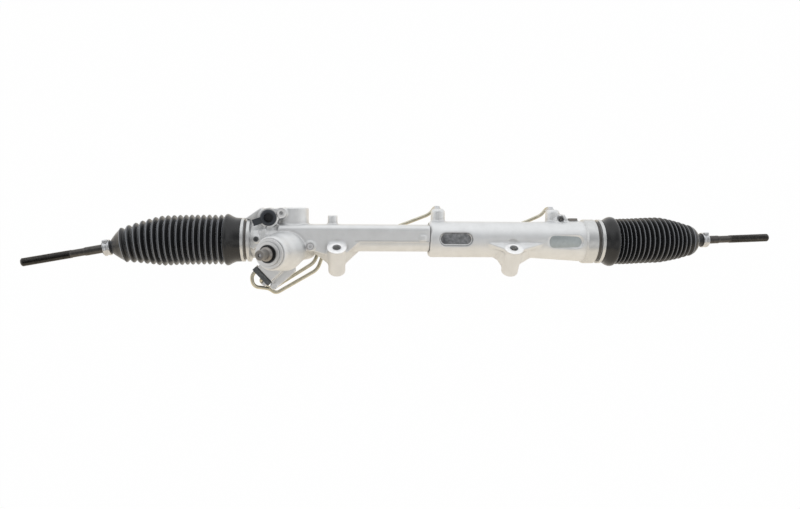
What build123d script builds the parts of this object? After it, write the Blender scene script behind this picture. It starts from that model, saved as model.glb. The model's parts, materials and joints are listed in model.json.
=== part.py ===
"""Hydraulic power-steering rack with its valve, bellows, inner tie rods and transfer pipes.

Millimetres.  +X runs along the rack, +Z along the two mounting bolts and -Y towards the steering
column.  The origin lies midway between the mounting bolts, on the underside of their bosses.
"""
from build123d import *
import math
import os

# ---------------------------------------------------------------- frame
BOLT_SPACING = 303.0        # between the two mounting bolts, along X
BOSS_HEIGHT = 54.0          # length of each mounting boss
BOSS_R = 14.6
SPOT_R = 16.6               # machined seat on top of each boss
SPOT_RIM = 3.0
BOLT_HOLE_R = 7.25          # clearance for an M14 bolt
RACK_Y = 39.0               # the rack axis lies behind the bolt line
RACK_Z = 38.0               # and above the seats of the bosses
VALVE_TILT = 35.0           # the pinion rises this much from the horizontal
PINION_SKEW = 21.0          # and leans this much towards -X
MESH_X = -222.0             # where the pinion meets the rack

# ---------------------------------------------------------------- rack and its teeth
RACK_R = 13.0
STROKE = 72.0               # rack travel to each side of centre
RACK_OFFSET = -16.0         # how far the rack stands from centre as drawn
RACK_HALF = 418.0           # rack bar, middle to end
BALL_SETBACK = 22.0
BALL_X = RACK_HALF + BALL_SETBACK       # ball centres from the rack's middle
PINION_TEETH = 8
MODULE = 2.0
PRESSURE_ANGLE = 25.0
TOOTH_SHIFT = 0.6           # profile shift of the pinion
RACK_TIP = 9.4              # tooth tips of the rack, from the rack axis
RACK_DEPTH = 4.0            # whole depth of a rack tooth
PINION_ADDENDUM = 2.2
PINION_ROOT_GAP = 0.4
BACKLASH = 0.16
TOOTH_ZONE_SPARE = 12.0     # toothed length beyond the stroke, each side
TOOTH_CUT_SPARE = 3.0       # how far the cutter stands above the teeth
PINION_FACE = 36.0
PISTON_X = 128.0            # piston middle from the rack's middle
PISTON_WIDTH = 12.0
PISTON_RING_WIDTH = 4.0
PISTON_RING_DEPTH = 2.0
SPIGOT_R = 8.0              # threaded stud of each ball housing, in the end of the rack
SPIGOT_LENGTH = 20.0

# ---------------------------------------------------------------- housings
HOUSING_END = 342.0         # both ends of the housing, inside the bellows
LEFT_EDGE = 316.0           # where each bellow's cuff ends
RIGHT_EDGE = 322.0
BAND_WIDTH = 6.0            # turned band beside the cuff
GROOVE_WIDTH = 5.0
GROOVE_DEPTH = 4.5
LEFT_LAND = 5.0             # turned land behind the groove
RIGHT_LAND = 20.0
LEFT_LAND_R = 37.5
RIGHT_LAND_R = 39.0
SHOULDER = 4.0              # slope behind each land
EDGE_BREAK = 0.8
SEAT_R = 34.5               # seat of the bellow's cuff
RACK_BORE_R = 15.0
TUBE_R = 18.6               # round underside of the rack tube
TUBE_SHIFT = 9.5            # its front round lies this much towards the valve's side
TUBE_TOP = 27.5             # flat top of the rack tube, from the rack axis
TUBE_CORNER_R = 9.0
LEDGE_DEPTH = 1.4           # the flat front stands proud of the underside
TUBE_FRONT = TUBE_R + TUBE_SHIFT + LEDGE_DEPTH
JOINT_X = 8.0               # where the tube enters the cylinder housing
JOINT_DEPTH = 24.0          # how deep it enters
JOINT_R = 19.0
CYLINDER_R = 31.5
CYLINDER_RISE = 2.5         # the casting's outside is this much above the bore
CYLINDER_BORE_R = 22.0
CYLINDER_CHAMFER = 4.0
SWELL_START = 178.0         # where the cylinder begins to swell to the right land
NECK_R = 31.0               # casting between the left land and the valve
YOKE_BARREL_R = 22.0
YOKE_BARREL_TOP = 55.5
YOKE_BARREL_SHIFT = 8.0     # the barrel's outside is this much wider on its left
YOKE_BORE_R = 17.5
FIT = 0.15                  # radial clearance of sliding and turned fits
GAP = 0.3                   # clearance where pieces only lie side by side

# ---------------------------------------------------------------- valve, along the pinion axis
LOWER_END = -48.0           # lower end of the pinion bore
LOWER_BORE_R = 16.0
LOWER_WALL = 5.0
BEARING_WIDTH = 10.0
LOWER_BEARING = -32.0       # lower face of the lower bearing
UPPER_BEARING = 22.0        # lower face of the upper bearing
JOURNAL_R = 8.0
UPPER_JOURNAL_R = 10.5
TOOTH_BORE_R = 11.4
VALVE_BORE_R = 20.0
VALVE_FLOOR = 34.0          # floor of the valve bore
BARREL_ROOT = 44.0          # widest place of the valve barrel
BARREL_ROOT_R = 33.0
BARREL_FRONT = 98.0
BARREL_FRONT_R = 27.0
COVER_R = 24.0
COVER_NECK_R = 19.0
COVER_FLANGE = 4.0
COVER_FACE = 107.0
SEAL_R = 14.6
SLEEVE_START = 40.0
SLEEVE_LENGTH = 44.0
RING_COUNT = 4
RING_WIDTH = 2.2
INPUT_R = 11.5
INPUT_END = 133.0
SPLINE_R = 8.3
SPLINE_LENGTH = 18.0
TORSION_R = 3.0

# ---------------------------------------------------------------- yoke
YOKE_LENGTH = 36.0
YOKE_LINER = 0.6
YOKE_PLUG_START = 42.0

# ---------------------------------------------------------------- tie rods
BALL_R = 12.9
BALL_SEAT_R = 15.0          # outside of the plastic seat
BALL_HOUSING_R = 18.0
BALL_HOUSING_LIP = 10.0     # from the ball's centre to the mouth
BALL_SWING = 20.0           # largest swing about each of the ball's two hinge axes
ROD_NECK_R = 6.5
ROD_SHANK_R = 7.2
ROD_RELIEF_R = 6.4
THREAD_R = 7.0              # M14
ROD_SHANK_START = 30.0
ROD_RELIEF_START = 118.0
THREAD_START = 140.0
LEFT_ROD_LENGTH = 220.5     # ball centre to the end of the thread
RIGHT_ROD_LENGTH = 217.0
STOP_THICKNESS = 3.0
STOP_R = 17.0
LEFT_YAW = 9.0              # how the left rod lies: towards -Y
LEFT_DROOP = 6.0            # and down
RIGHT_YAW = -4.0            # the right rod lies towards +Y
RIGHT_DROOP = 0.3

# ---------------------------------------------------------------- bellows
BELLOW_FOLDS = 17
BELLOW_R = 42.7
BELLOW_END_R = 29.6         # the fold nearest the rod
BELLOW_TAPER_FOLDS = 6      # folds over which the radius grows
FOLD_DEPTH = 7.0
BELLOW_WALL = 2.0
COLLAR_R = 44.5
COLLAR_SPARE = 1.0          # the collar ends this much beyond the housing
CUFF_R = 37.5
LEFT_CUFF = 12.0
RIGHT_CUFF = 2.0
LEFT_CONE = 22.0            # smooth cone between the first fold and the neck
RIGHT_CONE = 7.0
NECK_CUFF_R = 11.5
NECK_CUFF_WIDTH = 14.0
LEFT_NECK_AT = 82.0         # middle of the neck's cuff, from the ball's centre
RIGHT_NECK_AT = 90.0
CLAMP_THICKNESS = 1.1
CLAMP_WIDTH = 11.0

# ---------------------------------------------------------------- pipes and ports
PIPE_R = 3.1
NUT_R = 7.5
NUT_LENGTH = 12.0
PORT_BOSS_R = 12.5
INNER_PORT_X = 26.0
OUTER_PORT_X = 233.0
PORT_BOSS_TOP = 56.0
PORT_BOSS_Z = -12.0
PORT_DOME_R = 7.0
PORT_UP = 44.0              # height of the ports' centres
PORT_FACE = 11.0            # spot face of each port, from the boss's middle
NUT_STUB_R = 5.0
BEND_R = 22.0
HOOK_LENGTH = 22.0          # from a port's face to the bend above its union
TAB_X = -289.0              # end of the plug's pull tab
TAB_UP = 31.0
TAB_WIDTH = 11.0
FEED_X = -266.0             # high-pressure feed port on the left casting
FEED_UP = 39.0
FEED_FACE = 26.0
FEED_R = 16.5
FEED_BORE_R = 9.6
FEED_DEPTH = 16.0
PLUG_R = 13.6
PLUG_WALL = 1.6
CLAMP_HOLE_X = -245.0       # threaded hole beside the feed port
CLAMP_HOLE_UP = 47.0
CLAMP_HOLE_R = 3.3
EAR_R = 9.0
FLANGE_X = -274.8           # middle of the pipes' flange
FLANGE_UP = -57.5
FLANGE_OUT = 12.0
FLANGE_ANGLE = 47.0         # how far the flange's face turns from straight down
FLANGE_LENGTH = 38.0
FLANGE_WIDTH = 24.0
FLANGE_THICKNESS = 8.5
FLANGE_PAD = 40.0
FLANGE_BOLT_AT = (12.0, 5.0)    # bolt and pipes, from the flange's middle
LONG_PIPE_AT = (-13.0, 0.0)
SHORT_PIPE_AT = (3.0, -6.0)
FLANGE_BOLT_R = 3.0
EYE_X = -258.6              # ear beyond the flange's end
EYE_UP = -78.2
EYE_FACE = 20.0
EYE_R = 6.3
EYE_HOLE_R = 1.9
LONG_ROUTE = [(-294, -80, 9), (-268, -84, 3), (-257, -93, 0), (-186, -53, -14), (-177, -30, -34),
              (-140, -8, -57), (0, 6, -60), (140, 10, -60), (200, 34, -52)]     # (x, up, out) of the bends
SHORT_ROUTE = [(-266, -88, -9), (-248, -76, -10), (-192, -41, -16), (-183, -20, -32),
               (-150, 2, -44), (-72, 11, -47)]
PIPE_DEPTH = 6.5            # how deep a pipe enters the flange

# ---------------------------------------------------------------- outlines in the plane of X and UP
FEED_BRIDGE = [(-266, 25), (-245, 39), (-246, 55), (-268, 54)]
FEED_BODY = [(-300, -14), (-300, 34), (-281, 52), (-262, 54), (-246, 20), (-246, -14)]
GUSSET_OUTLINE = [(-308, 36), (-280, 55.5), (-272, 52), (-276, 18), (-297, 11), (-303, 8)]
GUSSET_SECTION = [(57, 19), (6, 9), (6, -14), (57, -14)]    # (up, out): it leans down and forwards
PORT_WALL = [(-264, 16), (-238, 16), (-236, 44), (-258, 42)]
LOWER_GUSSET = [(-262, -32), (-222, -32), (-222, -54), (-246, -75), (-254, -82), (-260, -72)]
BOSS_WEB = [(-216, 2), (-212, -10), (-188, -18), (-167, -24), (-135, -21.5), (-112, 0), (-112, 2)]
LEDGE_BLOCK = [(-9, 1), (-9, 10), (0, 10), (0, 1)]
NECK_RIBS = [(-281.5, 5), (-276.5, 7), (-271.5, 9)]         # lower left corner of each
NECK_FINS = [(-300, -9), (-295.5, -5)]
OUTER_FIN = [(233, 39), (237, 41), (243, 24), (239, 20)]
LONG_FIN = [(246, 46), (250, 48), (266, 24), (262, 20)]
FIN_BLOCK = [(259, 25), (259, 41), (277, 41), (277, 25)]
SEAT_PLATE = [(-43, 30), (-43, 12), (-16, -3), (18, -3), (56, 12), (56, 30)]    # (x, y) from the right bolt

# ---------------------------------------------------------------- small features and fasteners
NECK_END = -250.0           # where the left neck meets the valve barrel
LUG_X = -196.0              # screw boss right of the valve
LUG_UP = -8.5
LUG_FACE = 31.5
LUG_R = 8.5
SIDE_LUG_X = -286.3         # and the small one on the left neck
SIDE_LUG_UP = 3.3
SIDE_LUG_FACE = 33.0
SIDE_LUG_R = 6.0
STUB_X = -159.0
STUB_TOP = 43.0
STUB_R = 8.4
SCREW_R = 3.4
SCREW_LENGTH = 12.0
LUG_SCREW_HEAD_R = 5.0
SIDE_SCREW_HEAD_R = 4.1
SCREW_HEAD = 2.4
SCREW_HEAD_ROOM = 0.5       # clearance round a screw's head
HEX_R = 2.0                 # hexagon socket, centre to flat
BUSH_LENGTH = 20.0
BUSH_R = 16.5
INNER_SEAL_WIDTH = 9.0
INNER_SEAL_R = 17.0
END_BUSH_START = 238.0
END_BUSH_LENGTH = 46.0
END_BORE_R = 22.5
SNAP_WIDTH = 2.0
SNAP_R = 24.0

C, S = math.cos(math.radians(VALVE_TILT)), math.sin(math.radians(VALVE_TILT))
CK, SK = math.cos(math.radians(PINION_SKEW)), math.sin(math.radians(PINION_SKEW))
AXIS = Vector(0, RACK_Y, RACK_Z)
UP = Vector(0, S, C)                    # away from the pinion, square to the rack
OUT = Vector(0, -C, S)                  # square to the rack, on the valve's side
X = Vector(1, 0, 0)
PITCH_R = PINION_TEETH * MODULE / 2
PITCH = math.pi * MODULE
PITCH_LINE = RACK_TIP - (MODULE - TOOTH_SHIFT)
PINION_OFFSET = PITCH_LINE + PITCH_R
PINION_TIP_R = PITCH_R + PINION_ADDENDUM
VALVE_DIR = OUT * CK - X * SK
MESH = AXIS + X * MESH_X
BODY = Plane(origin=AXIS, x_dir=X, z_dir=OUT)               # local x, y, z = X, UP, OUT
RACK = Plane(origin=AXIS, x_dir=UP, z_dir=X)                # local z = X
VALVE = Plane(origin=MESH - UP * PINION_OFFSET, x_dir=X * CK + OUT * SK, z_dir=VALVE_DIR)
YOKE = Plane(origin=MESH, x_dir=X, z_dir=UP)
FA = math.radians(FLANGE_ANGLE)
FLANGE_DIR = X * -math.sin(FA) - UP * math.cos(FA)
FLANGE = Plane(
    origin=BODY.from_local_coords(Vector(FLANGE_X, FLANGE_UP, FLANGE_OUT)),
    x_dir=X * math.cos(FA) - UP * math.sin(FA), z_dir=FLANGE_DIR)
PORT_DIR = UP * 0.5 - OUT * math.sqrt(0.75)                 # the pipes' unions, up and to the back


# ---------------------------------------------------------------- helpers
def rod(plane, z0, z1, r):
    """A cylinder on a plane's normal, from z0 to z1."""
    return extrude(plane.offset(z0) * Circle(r), amount=z1 - z0)


def ring(plane, z0, z1, r, inner):
    return rod(plane, z0, z1, r) - rod(plane, z0 - 1, z1 + 1, inner)


def turned(plane, points):
    """A turned piece from (z, r) points, closed on the axis."""
    z_start, z_end = points[0][0], points[-1][0]
    outline = [(0, z_start)] + [(r, z) for z, r in points] + [(0, z_end)]
    section = Plane(origin=plane.origin, x_dir=plane.x_dir, z_dir=-plane.y_dir)
    return revolve(section * make_face(Polyline(outline, close=True)), Axis(plane.origin, plane.z_dir))


def at(x, up, out):
    """A point from its place along the rack, above the axis and towards the valve."""
    return BODY.from_local_coords(Vector(x, up, out))


def facing(x, up):
    """A plane that faces the valve's side, at a place along the rack and above its axis."""
    return Plane(origin=at(x, up, 0), x_dir=X, z_dir=OUT)


def slab(points, z0, z1):
    """A plate in the plane of the rack and UP, between two depths."""
    return extrude(BODY.offset(z0) * make_face(Polyline(points, close=True)), amount=z1 - z0)


# ---------------------------------------------------------------- castings
def tube_section():
    """Rounded below, with a proud flat front above the parting ledge; local x is UP, y is OUT."""
    lower = Circle(TUBE_R) + Pos(0, TUBE_SHIFT) * Circle(TUBE_R)
    lower += Pos(0, TUBE_SHIFT / 2) * Rectangle(2 * TUBE_R, TUBE_SHIFT)
    box = Pos(TUBE_TOP / 2, (TUBE_FRONT - TUBE_R) / 2) * Rectangle(TUBE_TOP, TUBE_FRONT + TUBE_R)
    upper = fillet(box.vertices().group_by(Axis.X)[-1], TUBE_CORNER_R)
    return lower + upper


def bellow_edge(side):
    return LEFT_EDGE if side < 0 else RIGHT_EDGE


def shoulder_x():
    """Where the cylinder has swollen to its right land."""
    return RIGHT_EDGE - BAND_WIDTH - GROOVE_WIDTH - RIGHT_LAND - SHOULDER


def end_profile(side, land, land_r, neck_x, neck_r):
    """Turned end of a housing: seat for the bellow, band, groove and land."""
    edge = bellow_edge(side)
    band = edge - BAND_WIDTH
    groove = band - GROOVE_WIDTH
    steps = [
        (HOUSING_END, SEAT_R - 2), (HOUSING_END - 3, SEAT_R), (edge, SEAT_R),
        (edge, land_r - EDGE_BREAK), (edge - EDGE_BREAK, land_r), (band, land_r),
        (band, land_r - GROOVE_DEPTH), (groove, land_r - GROOVE_DEPTH), (groove, land_r),
        (groove - land, land_r), (groove - land - SHOULDER, neck_r), (neck_x, neck_r),
    ]
    points = [(side * x, r) for x, r in steps]
    return turned(RACK, points)


def mounting_boss(x, web_left, web_right):
    """A boss for a vertical bolt, with a web that spreads to the tube behind it."""
    boss = extrude(Pos(x, 0, 0) * Circle(BOSS_R), amount=BOSS_HEIGHT)
    boss += extrude(Pos(x, 0, BOSS_HEIGHT - SPOT_RIM) * Circle(SPOT_R), amount=SPOT_RIM)
    low = [(x - web_left, RACK_Y), (x - BOSS_R * 0.9, -2), (x + BOSS_R * 0.9, -2), (x + web_right, RACK_Y)]
    web = extrude(Pos(0, 0, RACK_Z - 22) * make_face(Polyline(low, close=True)), amount=26)
    waist = BOSS_R * 0.8
    foot = [(x - web_left / 2, RACK_Y), (x - waist, 0), (x + waist, 0), (x + web_right / 2, RACK_Y)]
    skirt = extrude(Pos(0, 0, RACK_Z - 34) * make_face(Polyline(foot, close=True)), amount=30)
    return boss + web + skirt


def bolt_cut(x):
    """Bolt hole and the spot face that bites into the tube's wall."""
    hole = Pos(x, 0, BOSS_HEIGHT / 2) * Cylinder(BOLT_HOLE_R, BOSS_HEIGHT + 2)
    spot = Pos(x, 0, BOSS_HEIGHT + 15) * Cylinder(SPOT_R + GAP, 30)
    return hole + spot


def valve_barrel():
    lower_r = LOWER_BORE_R + LOWER_WALL
    outline = [
        (LOWER_END, lower_r - 2), (LOWER_END + 2, lower_r),
        (VALVE_FLOOR - 40, lower_r), (VALVE_FLOOR - 20, lower_r + 5),
        (BARREL_ROOT - 5, BARREL_ROOT_R - 1), (BARREL_ROOT, BARREL_ROOT_R),
        (BARREL_ROOT + 8, BARREL_ROOT_R - 0.5),
        (BARREL_ROOT + 22, BARREL_FRONT_R + 4), (BARREL_FRONT - 20, BARREL_FRONT_R + 1.5),
        (BARREL_FRONT - 6, BARREL_FRONT_R + 1), (BARREL_FRONT - 6, BARREL_FRONT_R),
        (BARREL_FRONT - 1.5, BARREL_FRONT_R),
        (BARREL_FRONT, BARREL_FRONT_R - 1.5),
    ]
    return turned(VALVE, outline)


def valve_bores():
    """Everything bored out on the pinion axis."""
    bores = rod(VALVE, LOWER_END - 1, LOWER_BEARING + BEARING_WIDTH, LOWER_BORE_R)
    bores += rod(VALVE, LOWER_BEARING, UPPER_BEARING + 1, TOOTH_BORE_R)
    bores += rod(VALVE, UPPER_BEARING, VALVE_FLOOR + 1, LOWER_BORE_R)
    return bores + rod(VALVE, VALVE_FLOOR, BARREL_FRONT + 1, VALVE_BORE_R)


def wedge(x0, x1, section):
    """A block along the rack from (up, out) points."""
    plane = Plane(origin=at(x0, 0, 0), x_dir=UP, z_dir=X)
    return extrude(plane * make_face(Polyline(section, close=True)), amount=x1 - x0)


def feed_port():
    """Port block above the valve: a round port, an ear for the clamp screw and a leaning gusset."""
    round_boss = rod(facing(FEED_X, FEED_UP), -14, FEED_FACE, FEED_R)
    ear = rod(facing(CLAMP_HOLE_X, CLAMP_HOLE_UP), 4, FEED_FACE, EAR_R)
    bridge = slab(FEED_BRIDGE, 4, FEED_FACE)
    body = slab(FEED_BODY, -16, 9)
    gusset = slab(GUSSET_OUTLINE, -14, 26) & wedge(-310, -270, GUSSET_SECTION)
    wall = slab(PORT_WALL, -12, 15)
    return round_boss + ear + bridge + body + gusset + wall


def feed_bores():
    port = rod(facing(FEED_X, FEED_UP), FEED_FACE - FEED_DEPTH, FEED_FACE + 1, FEED_BORE_R)
    return port + rod(facing(CLAMP_HOLE_X, CLAMP_HOLE_UP), FEED_FACE - 16, FEED_FACE + 1, CLAMP_HOLE_R)


def lugs():
    """Small bosses and stubs round the valve."""
    screw_lug = rod(facing(LUG_X, LUG_UP), 4, LUG_FACE, LUG_R)
    side_lug = rod(facing(SIDE_LUG_X, SIDE_LUG_UP), 4, SIDE_LUG_FACE, SIDE_LUG_R)
    stub = rod(Plane(origin=at(STUB_X, 0, 0), x_dir=X, z_dir=UP), 14, STUB_TOP, STUB_R)
    small = slab(LEDGE_BLOCK, 20, TUBE_FRONT + 2)
    for x, up in NECK_RIBS:
        small += slab([(x, up), (x, up + 13), (x + 2, up + 13), (x + 2, up)], 12, 31)
    for x, up in NECK_FINS:
        small += slab([(x, up + 2), (x + 10, up - 6), (x + 11.5, up - 4), (x + 1.5, up + 4)], 12, 32)
    return screw_lug + side_lug + stub + small


def screw_seat(plane, face, head_r):
    """Threaded hole and spot face of a plug screw."""
    shank = rod(plane, face - SCREW_LENGTH, face + 1, SCREW_R)
    return shank + rod(plane, face, face + 12, head_r + SCREW_HEAD_ROOM)


def flange_pad():
    """Foot under the valve barrel that carries the pipes' flange, with a gusset and an ear."""
    foot = Rectangle(FLANGE_LENGTH - 4, FLANGE_WIDTH - 2)
    pad = extrude(FLANGE.offset(-FLANGE_PAD) * foot, amount=FLANGE_PAD)
    pad += slab(LOWER_GUSSET, 4, 17)
    return pad + rod(facing(EYE_X, EYE_UP), 6, EYE_FACE, EYE_R)


def valve_housing():
    """Left casting: rack tube, valve barrel, yoke barrel and one mounting boss."""
    start = Plane(origin=at(NECK_END, 0, 0), x_dir=UP, z_dir=X)
    tube = extrude(start * tube_section(), amount=JOINT_X - NECK_END)
    tube += rod(RACK, JOINT_X - 2, JOINT_X + JOINT_DEPTH, JOINT_R)
    body = tube + end_profile(-1, LEFT_LAND, LEFT_LAND_R, -NECK_END, NECK_R)
    body += rod(YOKE, -10, YOKE_BARREL_TOP, YOKE_BARREL_R)
    wide = Plane(origin=MESH - X * YOKE_BARREL_SHIFT, x_dir=X, z_dir=UP)
    body += rod(wide, 0, YOKE_BARREL_TOP, YOKE_BARREL_R)
    body += extrude(YOKE * Pos(-YOKE_BARREL_SHIFT / 2, 0) * Rectangle(YOKE_BARREL_SHIFT, 2 * YOKE_BARREL_R),
                    amount=YOKE_BARREL_TOP)
    body += valve_barrel() + feed_port() + lugs() + flange_pad() + slab(BOSS_WEB, 0, TUBE_FRONT)
    body += mounting_boss(-BOLT_SPACING / 2, 48, 42)
    body -= rod(RACK, -HOUSING_END - 1, JOINT_X + JOINT_DEPTH + 1, RACK_BORE_R)
    body -= rod(RACK, -HOUSING_END - 1, -HOUSING_END + BUSH_LENGTH, BUSH_R)
    body -= rod(RACK, JOINT_X + JOINT_DEPTH - INNER_SEAL_WIDTH, JOINT_X + JOINT_DEPTH + 1, INNER_SEAL_R)
    body -= valve_bores() + feed_bores() + rod(YOKE, 0, YOKE_BARREL_TOP + 1, YOKE_BORE_R)
    body -= bolt_cut(-BOLT_SPACING / 2)
    body -= screw_seat(facing(LUG_X, LUG_UP), LUG_FACE, LUG_SCREW_HEAD_R)
    body -= screw_seat(facing(SIDE_LUG_X, SIDE_LUG_UP), SIDE_LUG_FACE, SIDE_SCREW_HEAD_R)
    body -= flange_ports() + flange_room()
    return body


def cylinder_shell():
    """Outside of the pressure cylinder: slightly high of its bore, swelling to the right land."""
    sections = [
        (JOINT_X, CYLINDER_RISE, CYLINDER_R - CYLINDER_CHAMFER * 0.6),
        (JOINT_X + CYLINDER_CHAMFER, CYLINDER_RISE, CYLINDER_R),
        (SWELL_START, CYLINDER_RISE, CYLINDER_R),
        (shoulder_x(), 0, RIGHT_LAND_R - 3),
    ]
    circles = [Plane(origin=at(x, up, 0), x_dir=UP, z_dir=X) * Circle(r) for x, up, r in sections]
    return loft(circles, ruled=True)


def port_boss(x):
    boss = rod(Plane(origin=at(x, 0, PORT_BOSS_Z), x_dir=X, z_dir=UP), 12, PORT_BOSS_TOP, PORT_BOSS_R)
    return fillet(boss.edges().sort_by(Axis(AXIS, UP))[-1:], PORT_DOME_R)


def obround(x0, x1, up, width, z0, z1):
    """A slot-shaped block or cut that faces the valve's side."""
    plane = facing((x0 + x1) / 2, up).offset(z0)
    return extrude(plane * SlotOverall(x1 - x0, width), amount=z1 - z0)


def cylinder_housing():
    """Right casting: pressure cylinder, ports and one mounting boss."""
    body = cylinder_shell() + end_profile(1, RIGHT_LAND, RIGHT_LAND_R, shoulder_x() - 1, RIGHT_LAND_R - 3)
    body += port_boss(INNER_PORT_X) + port_boss(OUTER_PORT_X)
    body += mounting_boss(BOLT_SPACING / 2, 43, 66) + seat_plate()
    body += slab(OUTER_FIN, -16, 6) + slab(LONG_FIN, -16, 6) + slab(FIN_BLOCK, -14, -4)
    body -= rod(RACK, JOINT_X - 1, JOINT_X + JOINT_DEPTH, JOINT_R)
    bore_end = END_BUSH_START + END_BUSH_LENGTH + SNAP_WIDTH
    body -= rod(RACK, JOINT_X + JOINT_DEPTH - 1, bore_end, CYLINDER_BORE_R)
    body -= rod(RACK, END_BUSH_START, HOUSING_END + 1, END_BORE_R)
    body -= bolt_cut(BOLT_SPACING / 2)
    body -= obround(24, 82, 4.5, 22.5, CYLINDER_R - 5, CYLINDER_R + 20)
    body -= obround(214, 276, 1, 23, CYLINDER_R - 0.5, CYLINDER_R + 20)
    return body - port_bores()


def port_axis(x):
    return Plane(origin=at(x, PORT_UP, PORT_BOSS_Z), x_dir=X, z_dir=PORT_DIR)


def port_bores():
    """Threaded ports, and the passages from them down to the chamber."""
    bores = None
    for x in (INNER_PORT_X, OUTER_PORT_X):
        port = rod(port_axis(x), PORT_FACE, PORT_FACE + 30, NUT_R + 4)
        port += rod(port_axis(x), 0, PORT_FACE + 1, NUT_STUB_R)
        bores = port if bores is None else bores + port
    return bores


def seat_plate():
    """Flat web round the right boss's seat, just above it."""
    outline = [(BOLT_SPACING / 2 + x, y) for x, y in SEAT_PLATE]
    return extrude(Pos(0, 0, BOSS_HEIGHT - 7) * make_face(Polyline(outline, close=True)), amount=8)


def flange_ports():
    """Threaded holes in the flange's pad and in the ear."""
    bolt_hole = rod(on_flange(FLANGE_BOLT_AT), -18, 1, FLANGE_BOLT_R)
    return bolt_hole + rod(facing(EYE_X, EYE_UP), 8, EYE_FACE + 1, EYE_HOLE_R)


def flange_room():
    """Clear space outside the flange's seat."""
    return extrude(FLANGE * Rectangle(FLANGE_LENGTH + 1, FLANGE_WIDTH + 4), amount=3 * FLANGE_THICKNESS)


def on_flange(place):
    return Plane(origin=FLANGE.from_local_coords(Vector(*place, 0)), x_dir=FLANGE.x_dir, z_dir=FLANGE.z_dir)


# ---------------------------------------------------------------- rack and piston
def rack_at(x):
    """A plane square to the rack, at a distance from the rack's middle."""
    return Plane(origin=AXIS + X * (x + RACK_OFFSET), x_dir=UP, z_dir=X)


def tooth_spaces():
    """Cuts between the rack's teeth, parallel to the pinion's axis."""
    zone = STROKE + TOOTH_ZONE_SPARE
    slope = math.tan(math.radians(PRESSURE_ANGLE))
    addendum = RACK_TIP - PITCH_LINE
    thickness = PITCH / 2 - 2 * TOOTH_SHIFT * slope - BACKLASH / 2
    root_gap = PITCH - thickness - 2 * (RACK_DEPTH - addendum) * slope
    tip_gap = PITCH - thickness + 2 * (addendum + TOOTH_CUT_SPARE) * slope
    root, tip = PITCH_R + RACK_DEPTH - addendum, PITCH_R - addendum - TOOTH_CUT_SPARE
    space = [(-root_gap / 2, root), (root_gap / 2, root), (tip_gap / 2, tip), (-tip_gap / 2, tip)]
    first = math.ceil((RACK_OFFSET - zone) * CK / PITCH)
    last = math.floor((RACK_OFFSET + zone) * CK / PITCH)
    gap = make_face(Polyline(space, close=True))
    section = Sketch() + [Pos(i * PITCH, 0) * gap for i in range(first, last + 1)]
    reach = (zone - RACK_OFFSET) * SK + 2 * RACK_R
    return extrude(VALVE.offset(-reach) * section, amount=2 * reach)


def rack_bar():
    """The rack: a round bar, flattened and toothed over the stroke, with a land for the piston."""
    bar = rod(rack_at(0), -RACK_HALF, RACK_HALF, RACK_R)
    zone = STROKE + TOOTH_ZONE_SPARE + PITCH
    flat = Plane(origin=at(MESH_X + RACK_OFFSET, -RACK_TIP, 0), x_dir=X, z_dir=-UP)
    bar -= extrude(flat * Rectangle(2 * zone, 3 * RACK_R), amount=RACK_R)
    bar -= tooth_spaces()
    for side in (-1, 1):
        end = Plane(origin=rack_at(0).origin + X * side * RACK_HALF, x_dir=UP, z_dir=-X * side)
        bar -= rod(end, -1, SPIGOT_LENGTH + 3, SPIGOT_R + FIT / 2)
    return bar


def piston():
    body = ring(rack_at(PISTON_X), -PISTON_WIDTH / 2, PISTON_WIDTH / 2, CYLINDER_BORE_R - GAP, RACK_R)
    return body - ring(rack_at(PISTON_X), -PISTON_RING_WIDTH / 2, PISTON_RING_WIDTH / 2, CYLINDER_BORE_R + 1,
                       CYLINDER_BORE_R - GAP - PISTON_RING_DEPTH)


def piston_ring():
    return ring(rack_at(PISTON_X), -PISTON_RING_WIDTH / 2, PISTON_RING_WIDTH / 2, CYLINDER_BORE_R - FIT / 2,
                CYLINDER_BORE_R - GAP - PISTON_RING_DEPTH)


def stop_washer(side):
    """Plastic washer on the rack's end that meets the housing at full lock."""
    start = side * (RACK_HALF - STOP_THICKNESS)
    return ring(rack_at(0), min(start, side * RACK_HALF), max(start, side * RACK_HALF), STOP_R, RACK_R + FIT)


# ---------------------------------------------------------------- seals and bushes on the rack
def left_rack_bush():
    return ring(RACK, -HOUSING_END + 1, -HOUSING_END + BUSH_LENGTH, BUSH_R, RACK_R + FIT)


def inner_rack_seal():
    end = JOINT_X + JOINT_DEPTH
    return ring(RACK, end - INNER_SEAL_WIDTH, end - 0.5, INNER_SEAL_R, RACK_R + FIT)


def rack_end_bush():
    bush = ring(RACK, END_BUSH_START, END_BUSH_START + END_BUSH_LENGTH, END_BORE_R - FIT / 2, RACK_R + GAP)
    bush -= ring(RACK, END_BUSH_START - 1, END_BUSH_START + INNER_SEAL_WIDTH, INNER_SEAL_R, RACK_R)
    groove = END_BUSH_START + END_BUSH_LENGTH / 2
    return bush - ring(RACK, groove - 2, groove + 2, END_BORE_R + 1, END_BORE_R - 2.4)


def outer_rack_seal():
    return ring(RACK, END_BUSH_START, END_BUSH_START + INNER_SEAL_WIDTH, INNER_SEAL_R, RACK_R + FIT)


def end_bush_ring():
    groove = END_BUSH_START + END_BUSH_LENGTH / 2
    return ring(RACK, groove - 1.9, groove + 1.9, END_BORE_R - FIT / 2, END_BORE_R - 2.4)


def snap_groove():
    start = END_BUSH_START + END_BUSH_LENGTH
    return ring(RACK, start, start + SNAP_WIDTH, SNAP_R, END_BORE_R - 2)


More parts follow.
